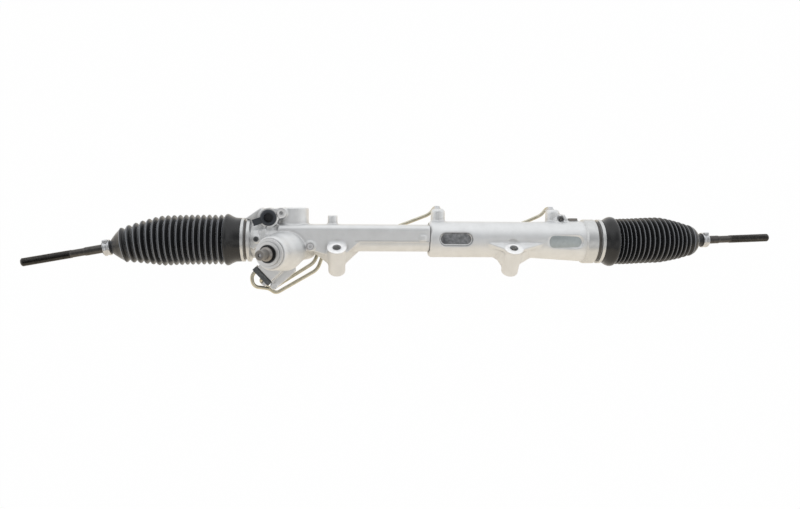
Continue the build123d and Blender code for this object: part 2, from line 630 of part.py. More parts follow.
def snap_ring():
    start = END_BUSH_START + END_BUSH_LENGTH
    gap = RACK.offset(start - 1) * Pos(30, 0) * Rectangle(60, 6)
    whole = ring(RACK, start, start + SNAP_WIDTH, SNAP_R, END_BORE_R - 2.5)
    return whole - extrude(gap, amount=SNAP_WIDTH + 2)


# ---------------------------------------------------------------- yoke
def yoke():
    """Support piece that holds the rack's back against the pinion."""
    body = rod(YOKE, 2, YOKE_LENGTH, YOKE_BORE_R - FIT) - rod(YOKE, YOKE_LENGTH - 12, YOKE_LENGTH + 1, 8)
    return body - rod(RACK, MESH_X - 30, MESH_X + 30, RACK_R + YOKE_LINER)


def yoke_liner():
    """Low-friction shell between the yoke's saddle and the rack."""
    half = YOKE_BORE_R - 1.5
    shell = ring(RACK, MESH_X - half, MESH_X + half, RACK_R + YOKE_LINER, RACK_R + FIT / 3)
    window = Plane(origin=YOKE.origin, x_dir=X, z_dir=UP).offset(5) * Rectangle(2 * YOKE_BORE_R - 3.5, 20)
    return shell & extrude(window, amount=20)


def yoke_spring():
    """Coil spring between the yoke and its plug."""
    turns = 3
    height = YOKE_PLUG_START - YOKE_LENGTH + 12
    wire = 1.5
    pitch = (height - 2 * wire - GAP) / turns
    foot = YOKE.offset(YOKE_LENGTH - 12 + wire + GAP / 2).origin
    path = Plane(origin=foot, x_dir=X, z_dir=UP) * Helix(pitch, pitch * turns, 6)
    section = Plane(origin=path @ 0, z_dir=path % 0) * Circle(wire)
    return sweep(section, path=path, is_frenet=True)


def hexagon(plane, z0, z1, flat):
    return extrude(plane.offset(z0) * RegularPolygon(flat, 6, major_radius=False), amount=z1 - z0)


def yoke_plug():
    plug = rod(YOKE, YOKE_PLUG_START, YOKE_PLUG_START + 9, YOKE_BORE_R - FIT / 2)
    return plug - hexagon(YOKE, YOKE_PLUG_START + 3, YOKE_PLUG_START + 10, 8.5)


# ---------------------------------------------------------------- pinion and valve
def involute(r_base, r):
    """Angle of the involute at a radius."""
    a = math.acos(r_base / r)
    return math.tan(a) - a


def pinion_section():
    """Eight involute teeth, as a closed outline."""
    r_base = PITCH_R * math.cos(math.radians(PRESSURE_ANGLE))
    r_root = PITCH_R - (MODULE - TOOTH_SHIFT) - PINION_ROOT_GAP
    slope = math.tan(math.radians(PRESSURE_ANGLE))
    thickness = PITCH / 2 + 2 * TOOTH_SHIFT * slope - BACKLASH / 2
    half = thickness / (2 * PITCH_R) + involute(r_base, PITCH_R)
    radii = [r_base + (PINION_TIP_R - r_base) * (i / 4) ** 1.5 for i in range(5)]
    tooth = None
    for side in (-1, 1):
        flank = [polar(r, side * (half - involute(r_base, r))) for r in radii]
        foot = polar(r_root - 0.4, side * half)
        if side < 0:
            lines = Line(foot, flank[0]) + Spline(flank)
            left_tip = flank[-1]
            left_foot = foot
        else:
            lines += Line(foot, flank[0]) + Spline(flank)
            lines += ThreePointArc(left_tip, polar(PINION_TIP_R, 0), flank[-1])
            lines += Line(left_foot, foot)
    tooth = make_face(lines)
    step = 360 / PINION_TEETH
    return Circle(r_root) + [Rot(0, 0, i * step) * tooth for i in range(PINION_TEETH)]


def polar(r, angle):
    """A point at an angle from the section's +Y, which points at the rack."""
    return (r * math.sin(angle), r * math.cos(angle))


def pinion_shaft():
    """Pinion with its lower journal, upper journal and the neck that drives the valve sleeve."""
    shaft = extrude(VALVE.offset(-PINION_FACE / 2) * pinion_section(), amount=PINION_FACE)
    shaft += rod(VALVE, LOWER_BEARING - 8, -PINION_FACE / 2, JOURNAL_R - FIT / 2)
    shaft += rod(VALVE, PINION_FACE / 2, SLEEVE_START, UPPER_JOURNAL_R)
    shaft += rod(VALVE, SLEEVE_START - 2, SLEEVE_START + 8, INPUT_R)
    return shaft - rod(VALVE, 8, SLEEVE_START + 9, TORSION_R + FIT)


def torsion_bar():
    return rod(VALVE, 8, INPUT_END - 2, TORSION_R)


def sleeve_r():
    return VALVE_BORE_R - GAP


def ring_places():
    """Middles of the valve's sealing rings, evenly along the sleeve."""
    step = SLEEVE_LENGTH / RING_COUNT
    return [SLEEVE_START + step * (i + 0.5) for i in range(RING_COUNT)]


def valve_sleeve():
    """Rotary valve sleeve, with a groove and a row of ports between its rings."""
    sleeve = ring(VALVE, SLEEVE_START, SLEEVE_START + SLEEVE_LENGTH, sleeve_r(), INPUT_R + FIT)
    for middle in ring_places():
        low, high = middle - RING_WIDTH / 2, middle + RING_WIDTH / 2
        sleeve -= ring(VALVE, low, high, sleeve_r() + 1, sleeve_r() - 1.8)
    return sleeve


def valve_rings():
    half, outer_r, inner_r = RING_WIDTH / 2, VALVE_BORE_R - FIT / 2, sleeve_r() - 1.8
    return [ring(VALVE, m - half, m + half, outer_r, inner_r) for m in ring_places()]


def input_shaft():
    """Input shaft: valve core, bearing land and the splined end for the steering column."""
    start = SLEEVE_START + 8 + GAP
    spline = INPUT_END - SPLINE_LENGTH
    outline = [(start, INPUT_R), (spline - 3, INPUT_R), (spline - 1, SPLINE_R + 1), (spline, SPLINE_R),
               (INPUT_END - 1.2, SPLINE_R), (INPUT_END, SPLINE_R - 1.2)]
    return turned(VALVE, outline) - rod(VALVE, start - 1, INPUT_END + 1, TORSION_R + FIT)


def lower_bearing():
    return ring(VALVE, LOWER_BEARING, LOWER_BEARING + BEARING_WIDTH, LOWER_BORE_R - FIT / 2, JOURNAL_R)


def upper_bearing():
    outer_r, inner_r = LOWER_BORE_R - FIT / 2, UPPER_JOURNAL_R + FIT / 2
    return ring(VALVE, UPPER_BEARING, UPPER_BEARING + BEARING_WIDTH, outer_r, inner_r)


def pinion_nut():
    nut = hexagon(VALVE, LOWER_BEARING - 7, LOWER_BEARING - 1, 11)
    return nut - rod(VALVE, LOWER_BEARING - 8, LOWER_BEARING, JOURNAL_R)


def bottom_cap():
    """Screwed cap under the lower bearing."""
    cap = rod(VALVE, LOWER_END - 3, LOWER_END + 5, LOWER_BORE_R - FIT / 2)
    cap += rod(VALVE, LOWER_END - 5, LOWER_END, LOWER_BORE_R + 3)
    return cap - hexagon(VALVE, LOWER_END - 6, LOWER_END - 1, 6)


def valve_cover():
    """Stepped ring that closes the valve bore and carries the input seal."""
    body = rod(VALVE, BARREL_FRONT - 8, BARREL_FRONT, VALVE_BORE_R - FIT / 2)
    body += rod(VALVE, BARREL_FRONT, BARREL_FRONT + COVER_FLANGE, COVER_R)
    body += rod(VALVE, BARREL_FRONT + COVER_FLANGE, COVER_FACE - 0.8, COVER_NECK_R)
    body -= rod(VALVE, BARREL_FRONT - 9, COVER_FACE, INPUT_R + 1)
    return body - rod(VALVE, BARREL_FRONT, COVER_FACE + 1, SEAL_R)


def input_bearing():
    start = SLEEVE_START + SLEEVE_LENGTH + GAP
    return ring(VALVE, start, BARREL_FRONT - 8 - GAP, VALVE_BORE_R - FIT / 2, INPUT_R + FIT / 2)


def input_seal():
    seal = ring(VALVE, BARREL_FRONT + 0.1, COVER_FACE, SEAL_R, INPUT_R + FIT / 2)
    return seal - ring(VALVE, COVER_FACE - 1.2, COVER_FACE + 1, SEAL_R - 1.2, INPUT_R + 1.1)


# ---------------------------------------------------------------- ball joints and tie rods
def ball_centre(side):
    return AXIS + X * (side * BALL_X + RACK_OFFSET)


def rod_direction(side):
    yaw, droop = (LEFT_YAW, LEFT_DROOP) if side < 0 else (RIGHT_YAW, RIGHT_DROOP)
    yaw, droop = math.radians(yaw), math.radians(droop)
    return Vector(side * math.cos(yaw) * math.cos(droop), -math.sin(yaw) * math.cos(droop), -math.sin(droop))


def rod_plane(side):
    along = rod_direction(side)
    return Plane(origin=ball_centre(side), x_dir=Vector(0, 0, 1).cross(along), z_dir=along)


def ball_plane(side):
    """Local z points away from the rack."""
    return Plane(origin=ball_centre(side), x_dir=UP, z_dir=X * side)


def mouth_angle():
    return math.asin(ROD_NECK_R / BALL_SEAT_R) + math.radians(BALL_SWING * math.sqrt(2))


def mouth_cone(plane):
    """Space that the rod's neck sweeps at the mouth of a ball seat or housing."""
    reach = 30.0
    return plane * Pos(0, 0, reach / 2) * Cone(0.01, reach * math.tan(mouth_angle()), reach)


def ball_housing(side):
    plane = ball_plane(side)
    back = BALL_X - RACK_HALF
    rim = BALL_HOUSING_R - 2
    side_line = [(-back, rim), (-back + 2, BALL_HOUSING_R), (4, BALL_HOUSING_R), (BALL_HOUSING_LIP, rim)]
    body = turned(plane, side_line)
    body += rod(plane, -back - SPIGOT_LENGTH, -back + 1, SPIGOT_R)
    body -= plane * Sphere(BALL_SEAT_R + FIT)
    return body - mouth_cone(plane)


def ball_seat(side):
    plane = ball_plane(side)
    seat = plane * Sphere(BALL_SEAT_R) - plane * Sphere(BALL_R + FIT)
    return seat - mouth_cone(plane)


def tie_rod(side):
    plane = rod_plane(side)
    length = LEFT_ROD_LENGTH if side < 0 else RIGHT_ROD_LENGTH
    outline = [(6, ROD_NECK_R), (ROD_SHANK_START, ROD_NECK_R),
               (ROD_SHANK_START + 4, ROD_SHANK_R), (ROD_RELIEF_START, ROD_SHANK_R),
               (ROD_RELIEF_START + 2, ROD_RELIEF_R), (THREAD_START - 1, ROD_RELIEF_R), (THREAD_START, THREAD_R),
               (length - 2, THREAD_R), (length, THREAD_R - 2)]
    return turned(plane, outline) + plane * Sphere(BALL_R)


# ---------------------------------------------------------------- bellows
def neck_at(side):
    return LEFT_NECK_AT if side < 0 else RIGHT_NECK_AT


def cone(side):
    return LEFT_CONE if side < 0 else RIGHT_CONE


def fold_line(side):
    """Centre line of the folds, as a function from 0 at the collar to 1 at the cone."""
    start = AXIS + X * side * (HOUSING_END + COLLAR_SPARE)
    away = rod_direction(side)
    end = ball_centre(side) + away * (neck_at(side) - NECK_CUFF_WIDTH / 2 - cone(side))
    pull = (end - start).length
    def place(s):
        a, b, c, d = 2 * s**3 - 3 * s**2 + 1, s**3 - 2 * s**2 + s, -2 * s**3 + 3 * s**2, s**3 - s**2
        point = start * a + X * side * pull * b + end * c + away * pull * d
        da, db, dc, dd = 6 * s**2 - 6 * s, 3 * s**2 - 4 * s + 1, -6 * s**2 + 6 * s, 3 * s**2 - 2 * s
        slope = start * da + X * side * pull * db + end * dc + away * pull * dd
        return point, slope.normalized()
    return place


def crest_r(s):
    """Outside radius of the folds: full, then tapering to the rod's end."""
    taper = BELLOW_TAPER_FOLDS / BELLOW_FOLDS
    t = max(0.0, (s - 1 + taper) / taper)
    return BELLOW_R - (BELLOW_R - BELLOW_END_R) * t ** 1.6


def circle_at(point, slope, r):
    return Plane(origin=point, x_dir=Vector(0, 0, 1).cross(slope), z_dir=slope) * Circle(r)


def collar_sections(side, steps):
    """Circles from (distance from the bellow's edge, radius) pairs."""
    edge = AXIS + X * side * bellow_edge(side)
    return [circle_at(edge + X * side * d, X * side, r) for d, r in steps]


def neck_sections(side, steps):
    """Circles along the rod from (distance from the ball, radius) pairs."""
    away = rod_direction(side)
    return [circle_at(ball_centre(side) + away * d, away, r) for d, r in steps]


def bellow_outside(side):
    """Outer skin: cuff, collar, folds, cone and the cuff on the rod."""
    place = fold_line(side)
    width = HOUSING_END + COLLAR_SPARE - bellow_edge(side)
    lip = LEFT_CUFF if side < 0 else RIGHT_CUFF
    collar = [(0, CUFF_R), (lip, CUFF_R), (lip + 2, COLLAR_R - 2), (lip + 5, COLLAR_R),
              (width - 5, COLLAR_R), (width - 1.5, COLLAR_R - 3)]
    count = 2 * BELLOW_FOLDS
    depths = [0 if k % 2 else FOLD_DEPTH for k in range(count + 1)]
    folds = [circle_at(*place(k / count), crest_r(k / count) - d) for k, d in enumerate(depths)]
    cuff = neck_at(side) - NECK_CUFF_WIDTH / 2
    wrist = ROD_SHANK_R + GAP + BELLOW_WALL
    mid_r = (BELLOW_END_R - FOLD_DEPTH + wrist) / 2 + 3
    neck = [(cuff - cone(side) / 2, mid_r), (cuff - cone(side) / 7, wrist),
            (cuff, wrist), (cuff + 0.8, NECK_CUFF_R),
            (cuff + NECK_CUFF_WIDTH, NECK_CUFF_R)]
    return loft(collar_sections(side, collar) + folds + neck_sections(side, neck), ruled=True)


def bellow_inside(side):
    """The space inside: the seat's bore, an even wall under the folds, and the rod's bore."""
    place = fold_line(side)
    width = HOUSING_END + COLLAR_SPARE - bellow_edge(side)
    seat = [(-1, SEAT_R + FIT / 2), (width - 1.5, SEAT_R + FIT / 2)]
    folds = [circle_at(*place(k / 6), crest_r(k / 6) - FOLD_DEPTH - BELLOW_WALL) for k in range(7)]
    cuff = neck_at(side) - NECK_CUFF_WIDTH / 2
    bore = ROD_SHANK_R + GAP
    mid_r = (BELLOW_END_R - FOLD_DEPTH + bore) / 2
    neck = [(cuff - cone(side) / 2, mid_r), (cuff - cone(side) / 5, bore), (cuff + NECK_CUFF_WIDTH + 1, bore)]
    return loft(collar_sections(side, seat) + folds + neck_sections(side, neck), ruled=True)


def bellow(side):
    """Rubber bellow from the housing's end to the tie rod."""
    return bellow_outside(side) - bellow_inside(side)


def bellow_clamp(side):
    """Band clamp on the bellow's small cuff, with its crimped ear."""
    plane = rod_plane(side)
    inner = NECK_CUFF_R + GAP
    outer = inner + CLAMP_THICKNESS
    z0 = neck_at(side) - CLAMP_WIDTH / 2
    z1 = z0 + CLAMP_WIDTH
    band = ring(plane, z0, z1, outer, inner) - ring(plane, z0 + 4, z1 - 4, outer + 1, outer - 0.4)
    ear = Plane(origin=plane.offset(z0).origin, x_dir=plane.x_dir, z_dir=plane.z_dir)
    ear *= Pos(0, outer + 1.6) * Rectangle(5, 4.4)
    return band + extrude(ear, amount=CLAMP_WIDTH)


# ---------------------------------------------------------------- pipes and fasteners
def pipe(points):
    """A bent pipe through points, every bend as round as its runs allow."""
    radii = []
    for before, corner, after in zip(points, points[1:], points[2:]):
        a, b = corner - before, after - corner
        half = math.radians(a.get_angle(b)) / 2
        radii.append(min(BEND_R, 0.45 * min(a.length, b.length) / math.tan(half)))
    path = FilletPolyline(*points, radius=radii)
    return sweep(Plane(origin=path @ 0, z_dir=path % 0) * Circle(PIPE_R), path=path)


def union_end(x):
    """Where a pipe enters its union, and the bend just behind it."""
    seat = port_axis(x).origin
    hook = [at(x - 10, PORT_UP + 1, PORT_BOSS_Z - 36), seat + PORT_DIR * (PORT_FACE + HOOK_LENGTH)]
    return hook + [seat + PORT_DIR * (PORT_FACE + 2)]


def flange_end(place, reach):
    """Where a pipe enters the flange, and the bend just outside it."""
    start = on_flange(place).origin
    foot = start + FLANGE_DIR * (FLANGE_THICKNESS - PIPE_DEPTH)
    return [foot, start + FLANGE_DIR * (FLANGE_THICKNESS + reach)]


def long_pipe():
    """From the flange, under the valve and behind the housing to the outer port."""
    return pipe(flange_end(LONG_PIPE_AT, 10) + [at(*p) for p in LONG_ROUTE] + union_end(OUTER_PORT_X))


def short_pipe():
    """From the flange, beside the long pipe, to the inner port."""
    return pipe(flange_end(SHORT_PIPE_AT, 6) + [at(*p) for p in SHORT_ROUTE] + union_end(INNER_PORT_X))


def union_nut(x):
    plane = port_axis(x)
    top = PORT_FACE + NUT_LENGTH
    nut = hexagon(plane, PORT_FACE, top - 3, NUT_R) + rod(plane, top - 4, top, NUT_R - 1.5)
    nut += rod(plane, PORT_FACE - 8, PORT_FACE + 1, NUT_STUB_R - FIT / 2)
    return nut - rod(plane, PORT_FACE - 9, PORT_FACE + NUT_LENGTH + 1, PIPE_R + FIT)


def pipe_flange():
    """Steel plate that clamps both pipes to the valve housing."""
    outline = Rectangle(FLANGE_LENGTH, FLANGE_WIDTH)
    plate = extrude(FLANGE * fillet(outline.vertices(), 4), amount=FLANGE_THICKNESS)
    for place in (LONG_PIPE_AT, SHORT_PIPE_AT):
        low, high = FLANGE_THICKNESS - PIPE_DEPTH - 0.5, FLANGE_THICKNESS + 1
        plate -= rod(on_flange(place), low, high, PIPE_R + FIT)
    return plate - rod(on_flange(FLANGE_BOLT_AT), -1, FLANGE_THICKNESS + 9, FLANGE_BOLT_R + GAP)


def flange_bolt():
    plane = on_flange(FLANGE_BOLT_AT)
    bolt = rod(plane, -14, FLANGE_THICKNESS + 0.5, FLANGE_BOLT_R - FIT / 2)
    return bolt + hexagon(plane, FLANGE_THICKNESS, FLANGE_THICKNESS + 5, 4.8)


def socket_screw(plane, face, head_r):
    """Plug screw with a flat head and a hexagon socket."""
    screw = rod(plane, face - SCREW_LENGTH + 0.5, face + 0.1, SCREW_R - FIT / 2)
    screw += rod(plane, face, face + SCREW_HEAD, head_r)
    return screw - hexagon(plane, face + SCREW_HEAD - 3.5, face + SCREW_HEAD + 1, HEX_R)


def port_plug():
    """Hollow rubber transit plug in the feed port, with a pull tab."""
    plane = facing(FEED_X, FEED_UP)
    outline = [(FEED_FACE - FEED_DEPTH + 2, FEED_BORE_R - 0.6), (FEED_FACE, FEED_BORE_R - FIT), (FEED_FACE, PLUG_R),
               (FEED_FACE + 3.5, PLUG_R), (FEED_FACE + 5, PLUG_R - 1.5), (FEED_FACE + 5, FEED_BORE_R),
               (FEED_FACE + 4, FEED_BORE_R)]
    plug = turned(plane, outline)
    tab = facing((FEED_X + TAB_X) / 2, (FEED_UP + TAB_UP) / 2).offset(FEED_FACE)
    length = math.hypot(FEED_X - TAB_X, FEED_UP - TAB_UP)
    turn = math.degrees(math.atan2(FEED_UP - TAB_UP, FEED_X - TAB_X))
    plug += extrude(tab * Rot(0, 0, turn) * Rectangle(length + TAB_WIDTH / 2, TAB_WIDTH), amount=3)
    return plug - rod(plane, FEED_FACE - FEED_DEPTH + 4.5, FEED_FACE + 10, FEED_BORE_R - PLUG_WALL)


NODES = {
    "valve_housing": valve_housing,
    "cylinder_housing": lambda: cylinder_housing() - snap_groove(),
    "rack_bar": rack_bar,
    "piston": piston,
    "piston_ring": piston_ring,
    "left_stop_washer": lambda: stop_washer(-1),
    "right_stop_washer": lambda: stop_washer(1),
    "left_rack_bush": left_rack_bush,
    "inner_rack_seal": inner_rack_seal,
    "rack_end_bush": rack_end_bush,
    "outer_rack_seal": outer_rack_seal,
    "end_bush_ring": end_bush_ring,
    "snap_ring": snap_ring,
    "yoke": yoke,
    "yoke_liner": yoke_liner,
    "yoke_spring": yoke_spring,
    "yoke_plug": yoke_plug,
    "pinion_shaft": pinion_shaft,
    "torsion_bar": torsion_bar,
    "valve_sleeve": valve_sleeve,
    "valve_rings": valve_rings,
    "input_shaft": input_shaft,
    "lower_bearing": lower_bearing,
    "upper_bearing": upper_bearing,
    "input_bearing": input_bearing,
    "pinion_nut": pinion_nut,
    "bottom_cap": bottom_cap,
    "valve_cover": valve_cover,
    "input_seal": input_seal,
    "long_pipe": long_pipe,
    "short_pipe": short_pipe,
    "inner_union_nut": lambda: union_nut(INNER_PORT_X),
    "outer_union_nut": lambda: union_nut(OUTER_PORT_X),
    "pipe_flange": pipe_flange,
    "flange_bolt": flange_bolt,
    "lug_screw": lambda: socket_screw(facing(LUG_X, LUG_UP), LUG_FACE, LUG_SCREW_HEAD_R),
    "side_screw": lambda: socket_screw(facing(SIDE_LUG_X, SIDE_LUG_UP), SIDE_LUG_FACE, SIDE_SCREW_HEAD_R),
    "port_plug": port_plug,
}
for name, side in (("left", -1), ("right", 1)):
    NODES[name + "_ball_housing"] = lambda side=side: ball_housing(side)
    NODES[name + "_ball_seat"] = lambda side=side: ball_seat(side)
    NODES[name + "_tie_rod"] = lambda side=side: tie_rod(side)
    NODES[name + "_bellow"] = lambda side=side: bellow(side)
    NODES[name + "_bellow_clamp"] = lambda side=side: bellow_clamp(side)

os.makedirs("parts", exist_ok=True)
for name, make in NODES.items():
    made = make()
    shape = Compound(children=made) if isinstance(made, list) else made
    export_step(shape, f"parts/{name}.step")
    print(name, round(shape.volume), len(shape.solids()), len(shape.faces()))
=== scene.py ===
"""Dressed model of a hydraulic steering rack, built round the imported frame.

Metres.  +X runs along the rack, +Z along the mounting bolts, -Y towards the steering column.
Most places are given as (x, up, out) in millimetres: along the rack, above its axis and towards
the valve's side, on axes that lean back with the valve.
"""
import bmesh
import bpy
import json
import math
from mathutils import Matrix, Vector
from mathutils.kdtree import KDTree

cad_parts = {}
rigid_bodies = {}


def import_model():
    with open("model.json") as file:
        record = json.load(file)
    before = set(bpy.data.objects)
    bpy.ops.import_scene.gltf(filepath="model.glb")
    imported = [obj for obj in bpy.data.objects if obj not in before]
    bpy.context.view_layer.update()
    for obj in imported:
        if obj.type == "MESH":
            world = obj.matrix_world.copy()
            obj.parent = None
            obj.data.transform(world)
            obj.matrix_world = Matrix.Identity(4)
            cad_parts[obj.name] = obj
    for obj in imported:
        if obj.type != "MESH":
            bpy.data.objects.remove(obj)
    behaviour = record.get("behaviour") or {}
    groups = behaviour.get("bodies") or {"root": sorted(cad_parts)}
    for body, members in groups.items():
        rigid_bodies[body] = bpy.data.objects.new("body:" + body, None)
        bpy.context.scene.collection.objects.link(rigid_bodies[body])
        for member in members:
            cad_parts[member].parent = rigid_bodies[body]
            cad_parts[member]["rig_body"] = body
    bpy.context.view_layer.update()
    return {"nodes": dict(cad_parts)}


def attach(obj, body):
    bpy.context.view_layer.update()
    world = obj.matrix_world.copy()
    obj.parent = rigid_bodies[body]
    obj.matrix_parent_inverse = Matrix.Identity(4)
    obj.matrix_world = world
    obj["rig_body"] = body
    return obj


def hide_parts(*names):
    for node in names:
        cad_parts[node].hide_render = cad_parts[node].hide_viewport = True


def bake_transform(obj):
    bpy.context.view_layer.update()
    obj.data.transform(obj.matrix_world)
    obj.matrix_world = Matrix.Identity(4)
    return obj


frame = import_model()

MM = 0.001
TILT = math.radians(35)
AXIS = Vector((0, 39, 38))
UP = Vector((0, math.sin(TILT), math.cos(TILT)))
OUT = Vector((0, -math.cos(TILT), math.sin(TILT)))
X = Vector((1, 0, 0))
SKEW = math.radians(21)
VALVE_DIR = OUT * math.cos(SKEW) - X * math.sin(SKEW)
PINION_OFFSET = 16.0
MESH_X = -222.0
BOLT_X = 151.5
BOSS_TOP = 54.0
SHARP = 32                  # degrees past which an edge shades as sharp
ARC_STEPS = 3               # straight runs in a rounded corner
SMALLEST_R = 0.02           # radius of the ring at a lathe's pole


# ---------------------------------------------------------------- places
def at(x, up, out):
    """A point in millimetres in the row frame, from its place on the leaning axes."""
    return AXIS + X * x + UP * up + OUT * out


def matrix(x, y, z, origin):
    """Matrix of a frame from its axes and origin."""
    return Matrix([(x[i], y[i], z[i], origin[i]) for i in range(3)] + [(0, 0, 0, 1)])


def place(origin, z, x_hint):
    """Matrix of a local frame, from millimetres, with its z axis and roughly its x axis."""
    z = z.normalized()
    y = z.cross(x_hint).normalized()
    x = y.cross(z)
    return matrix(x, y, z, origin)


def across(point, slope):
    """Frame at a point with its z axis along the slope and its x axis level."""
    return place(point, slope, Vector((0, 0, 1)).cross(slope))


RACK = place(AXIS, X, UP)
VALVE = place(AXIS + X * MESH_X - UP * PINION_OFFSET, VALVE_DIR, X)


def facing(x, up, out=0.0):
    return place(at(x, up, out), OUT, X)


def upright(x, y, z):
    return place(Vector((x, y, z)), Vector((0, 0, 1)), X)


# ---------------------------------------------------------------- mesh makers
def new_object(name, mesh, body, material):
    """Adds a mesh as a piece that rides on a body."""
    piece = bpy.data.objects.new(name, mesh)
    bpy.context.scene.collection.objects.link(piece)
    if material is not None:
        mesh.materials.clear()
        mesh.materials.append(material)
    if body:
        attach(piece, body)
    return piece


def mesh_from(name, verts, faces, sharp=SHARP):
    """A mesh from millimetre points, smooth with sharp edges past an angle."""
    mesh = bpy.data.meshes.new(name)
    mesh.from_pydata([tuple(v * MM for v in p) for p in verts], [], faces)
    bm = bmesh.new()
    bm.from_mesh(mesh)
    bmesh.ops.remove_doubles(bm, verts=bm.verts, dist=1e-7)
    bmesh.ops.recalc_face_normals(bm, faces=bm.faces)
    bm.to_mesh(mesh)
    bm.free()
    shade(mesh, sharp)
    return mesh


def shade(mesh, sharp):
    mesh.shade_smooth()
    mesh.set_sharp_from_angle(angle=math.radians(sharp))


def skin(name, rings, closed=False, sharp=SHARP):
    """A closed skin over rings of equal count; closed joins the last ring to the first."""
    verts = [p for r in rings for p in r]
    n = len(rings[0])
    faces = []
    last = len(rings) if closed else len(rings) - 1
    for i in range(last):
        a, b = i * n, ((i + 1) % len(rings)) * n
        faces += [(a + j, a + (j + 1) % n, b + (j + 1) % n, b + j) for j in range(n)]
    if not closed:
        faces.append(tuple(reversed(range(n))))
        faces.append(tuple(range((len(rings) - 1) * n, len(rings) * n)))
    return mesh_from(name, verts, faces, sharp)


def circle(frame_at, z, r, n):
    """Ring of points round a frame's z axis."""
    points = []
    for j in range(n):
        a = 2 * math.pi * j / n
        points.append(frame_at @ Vector((r * math.cos(a), r * math.sin(a), z)))
    return points


def lathe(name, frame_at, profile, n=96, closed=False, sharp=SHARP):
    """A turned piece from (z, r) pairs; closed for a ring whose profile is a loop."""
    return skin(name, [circle(frame_at, z, max(r, SMALLEST_R), n) for z, r in profile], closed, sharp)


def rounded(profile, radius, loop=False):
    """The profile with its corners cut to arcs."""
    points = [Vector(p) for p in profile]
    count = len(points)
    out = []
    for i, p in enumerate(points):
        if not loop and i in (0, count - 1):
            out.append(tuple(p))
            continue
        a, b = points[i - 1], points[(i + 1) % count]
        da, db = (a - p), (b - p)
        reach = min(radius, 0.45 * da.length, 0.45 * db.length)
        if reach < 1e-3:
            out.append(tuple(p))
            continue
        s, e = p + da.normalized() * reach, p + db.normalized() * reach
        for k in range(ARC_STEPS + 1):
            t = k / ARC_STEPS
            q = s * (1 - t) ** 2 + p * 2 * t * (1 - t) + e * t ** 2
            out.append(tuple(q))
    return out


def apply_modifiers(piece):
    """Puts the mesh that a piece's modifiers make in place of its own."""
    graph = bpy.context.evaluated_depsgraph_get()
    mesh = bpy.data.meshes.new_from_object(piece.evaluated_get(graph), depsgraph=graph)
    piece.modifiers.clear()
    old = piece.data
    piece.data = mesh
    bpy.data.meshes.remove(old)


# ---------------------------------------------------------------- materials
CORNER_POWER = 1.6          # how fast the painted corner shade fades out of a corner
CLOUD_MM = 18.0             # size of the castings' clouding


